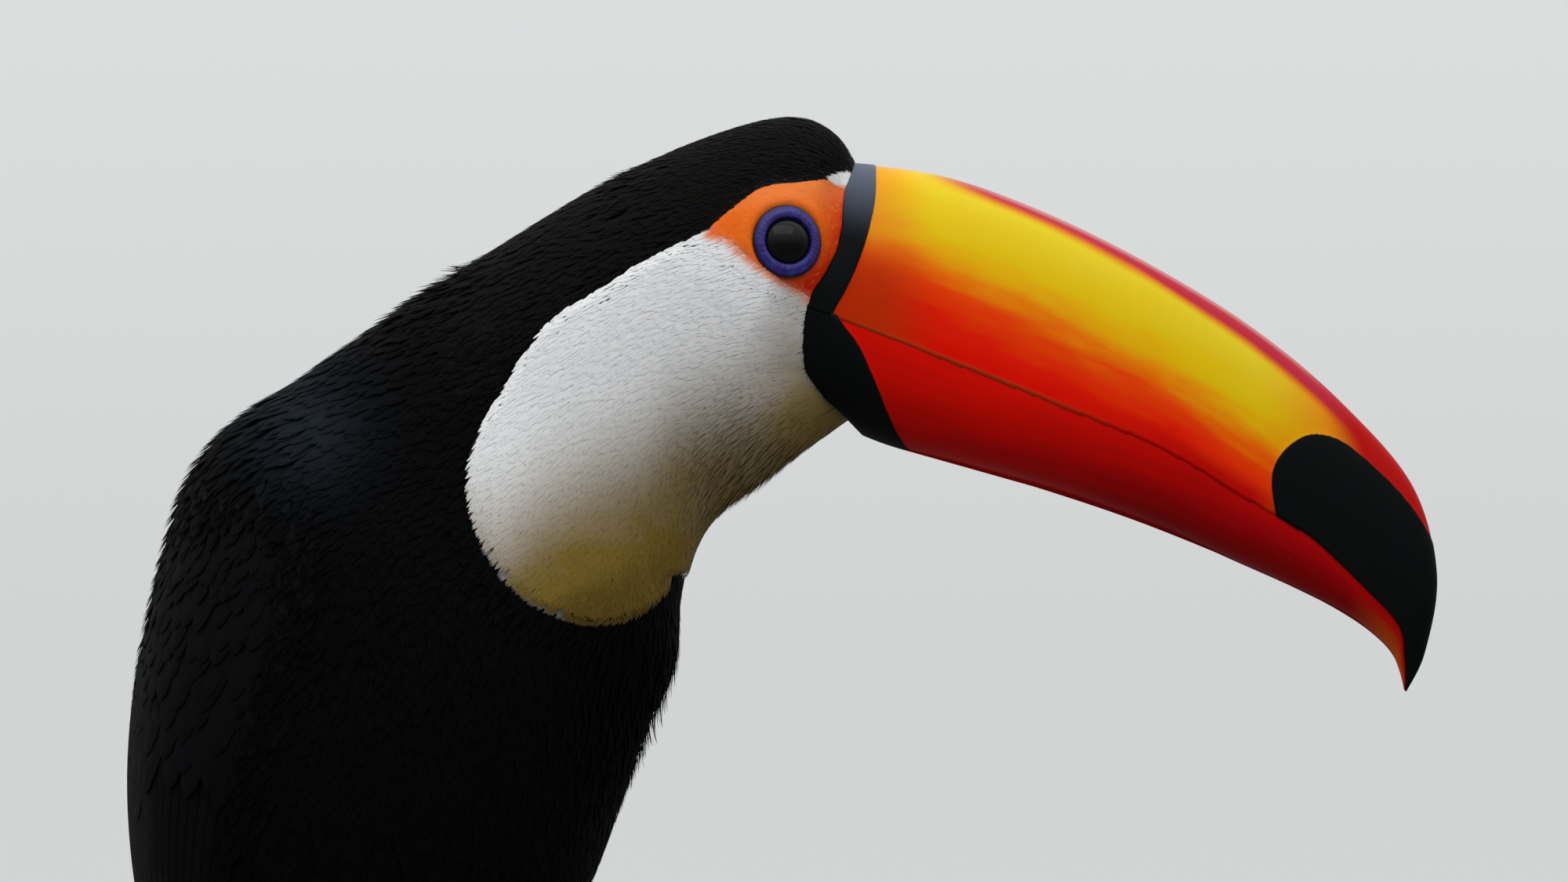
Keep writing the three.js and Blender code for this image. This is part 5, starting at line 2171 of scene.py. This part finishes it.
@dataclass
class Toucan:
    """The whole bird, piece by piece."""

    body: Body = field(default_factory=Body)
    legs: Legs = field(default_factory=Legs)
    feathers: Sequence[FeatherFinish] = (
        FeatherFinish(
            "crown_feathers", (0.0016, 0.0014, 0.0012), (0.0058, 0.0050, 0.0042), 0.7, 0.45, 0.03, gloss=0.05
        ),
        # the blue third colour of black and flight feathers is a painted sheen
        FeatherFinish(
            "black_feathers", (0.0009, 0.0009, 0.0010), (0.0028, 0.0030, 0.0034), 0.66, 0.45, 0.03,
            (0.010, 0.0135, 0.019), gloss=0.03,
        ),
        FeatherFinish(
            "flight_feathers", (0.0009, 0.0009, 0.0010), (0.0028, 0.0031, 0.0038), 0.55, 0.8, 0.05,
            (0.010, 0.0135, 0.019), gloss=0.05,
        ),
        # the bib's buff is partly painted shade, and its deepest colour is painted shade at the lower edge
        FeatherFinish(
            "bib_feathers", (0.80, 0.797, 0.79), (0.93, 0.927, 0.92), 0.75, 0.3, 0.006, (0.225, 0.147, 0.024),
            deepest_painted_shade=(0.135, 0.085, 0.012), blush=(0.88, 0.34, 0.22), gloss=0.1,
        ),
        FeatherFinish("vent_feathers", (0.30, 0.008, 0.008), (0.55, 0.025, 0.018), 0.6, 0.5, 0.04),
        FeatherFinish("rump_feathers", (0.62, 0.61, 0.58), (0.84, 0.83, 0.80), 0.65, 0.5, 0.04),
    )

    def build(self) -> Iterable[Piece]:
        """Makes and dresses every piece.

        Returns:
            The pieces, one after another.
        """
        parts = ("thigh", "shank", *(f"toe_{toe}" for toe in TOES))
        nodes = ["head", "neck", "trunk", *(f"{part}_{side}" for side in SIDES for part in parts)]
        yield dress(Skin(self.body, self.legs).build(), SkinFinish().make(), "eye_skin", nodes)
        yield from self.coat()
        bill = Bill(self.body)
        for half, upper in (("upper", True), ("lower", False)):
            finish = BillFinish(f"horn_{half}", upper)
            yield dress(bill.build(upper), finish.make(), f"{half}_bill", [f"bill_{half}"])
        eye, wet, wrinkled, horn = Eye(), EyeballFinish().make(), EyeRingFinish().make(), HornFinish().make()
        for name, side in SIDES.items():
            yield dress(eye.ball(f"eyeball_{name}", side), wet, "eyeball", [f"eye_{name}"])
            yield dress(eye.ring(f"ring_{name}", side), wrinkled, "eye_skin", [f"eye_ring_{name}"])
            for toe in TOES:
                yield dress(build_claw(self.legs, toe, name), horn, "claw", [f"claw_{toe}_{name}"])

    def coat(self) -> Iterable[Piece]:
        """Makes and dresses the feathers.

        Returns:
            The pieces, one after another.
        """
        finishes = {finish.name: finish.make() for finish in self.feathers}
        for piece, name in Coat(self.body, self.legs).pieces():
            yield dress(piece, finishes[name], "bib" if name == "bib_feathers" else "plumage")
        vane = finishes["flight_feathers"]
        for index, (name, side) in enumerate(SIDES.items()):
            wing = Wing(WingForm(self.body, side)).build(f"wing_feathers_{name}", 101 + 50 * index)
            yield dress(wing, vane, "plumage", [f"wing_{name}"])
        yield dress(Tail().build(), vane, "plumage", ["tail"])


def main() -> None:
    """Builds the bird and the studio, reporting each piece."""
    logging.basicConfig(level=logging.INFO, format="%(message)s")
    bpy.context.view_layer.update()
    total = 0
    for piece in Toucan().build():
        triangles = sum(len(face.vertices) - 2 for face in piece.data.polygons)
        total += triangles
        LOG.info("%s: %d triangles", piece.name, triangles)
    LOG.info("whole bird: %d triangles", total)
    Studio().build()
    bpy.context.scene.view_settings.view_transform = "Standard"


if __name__ == "__main__":
    main()
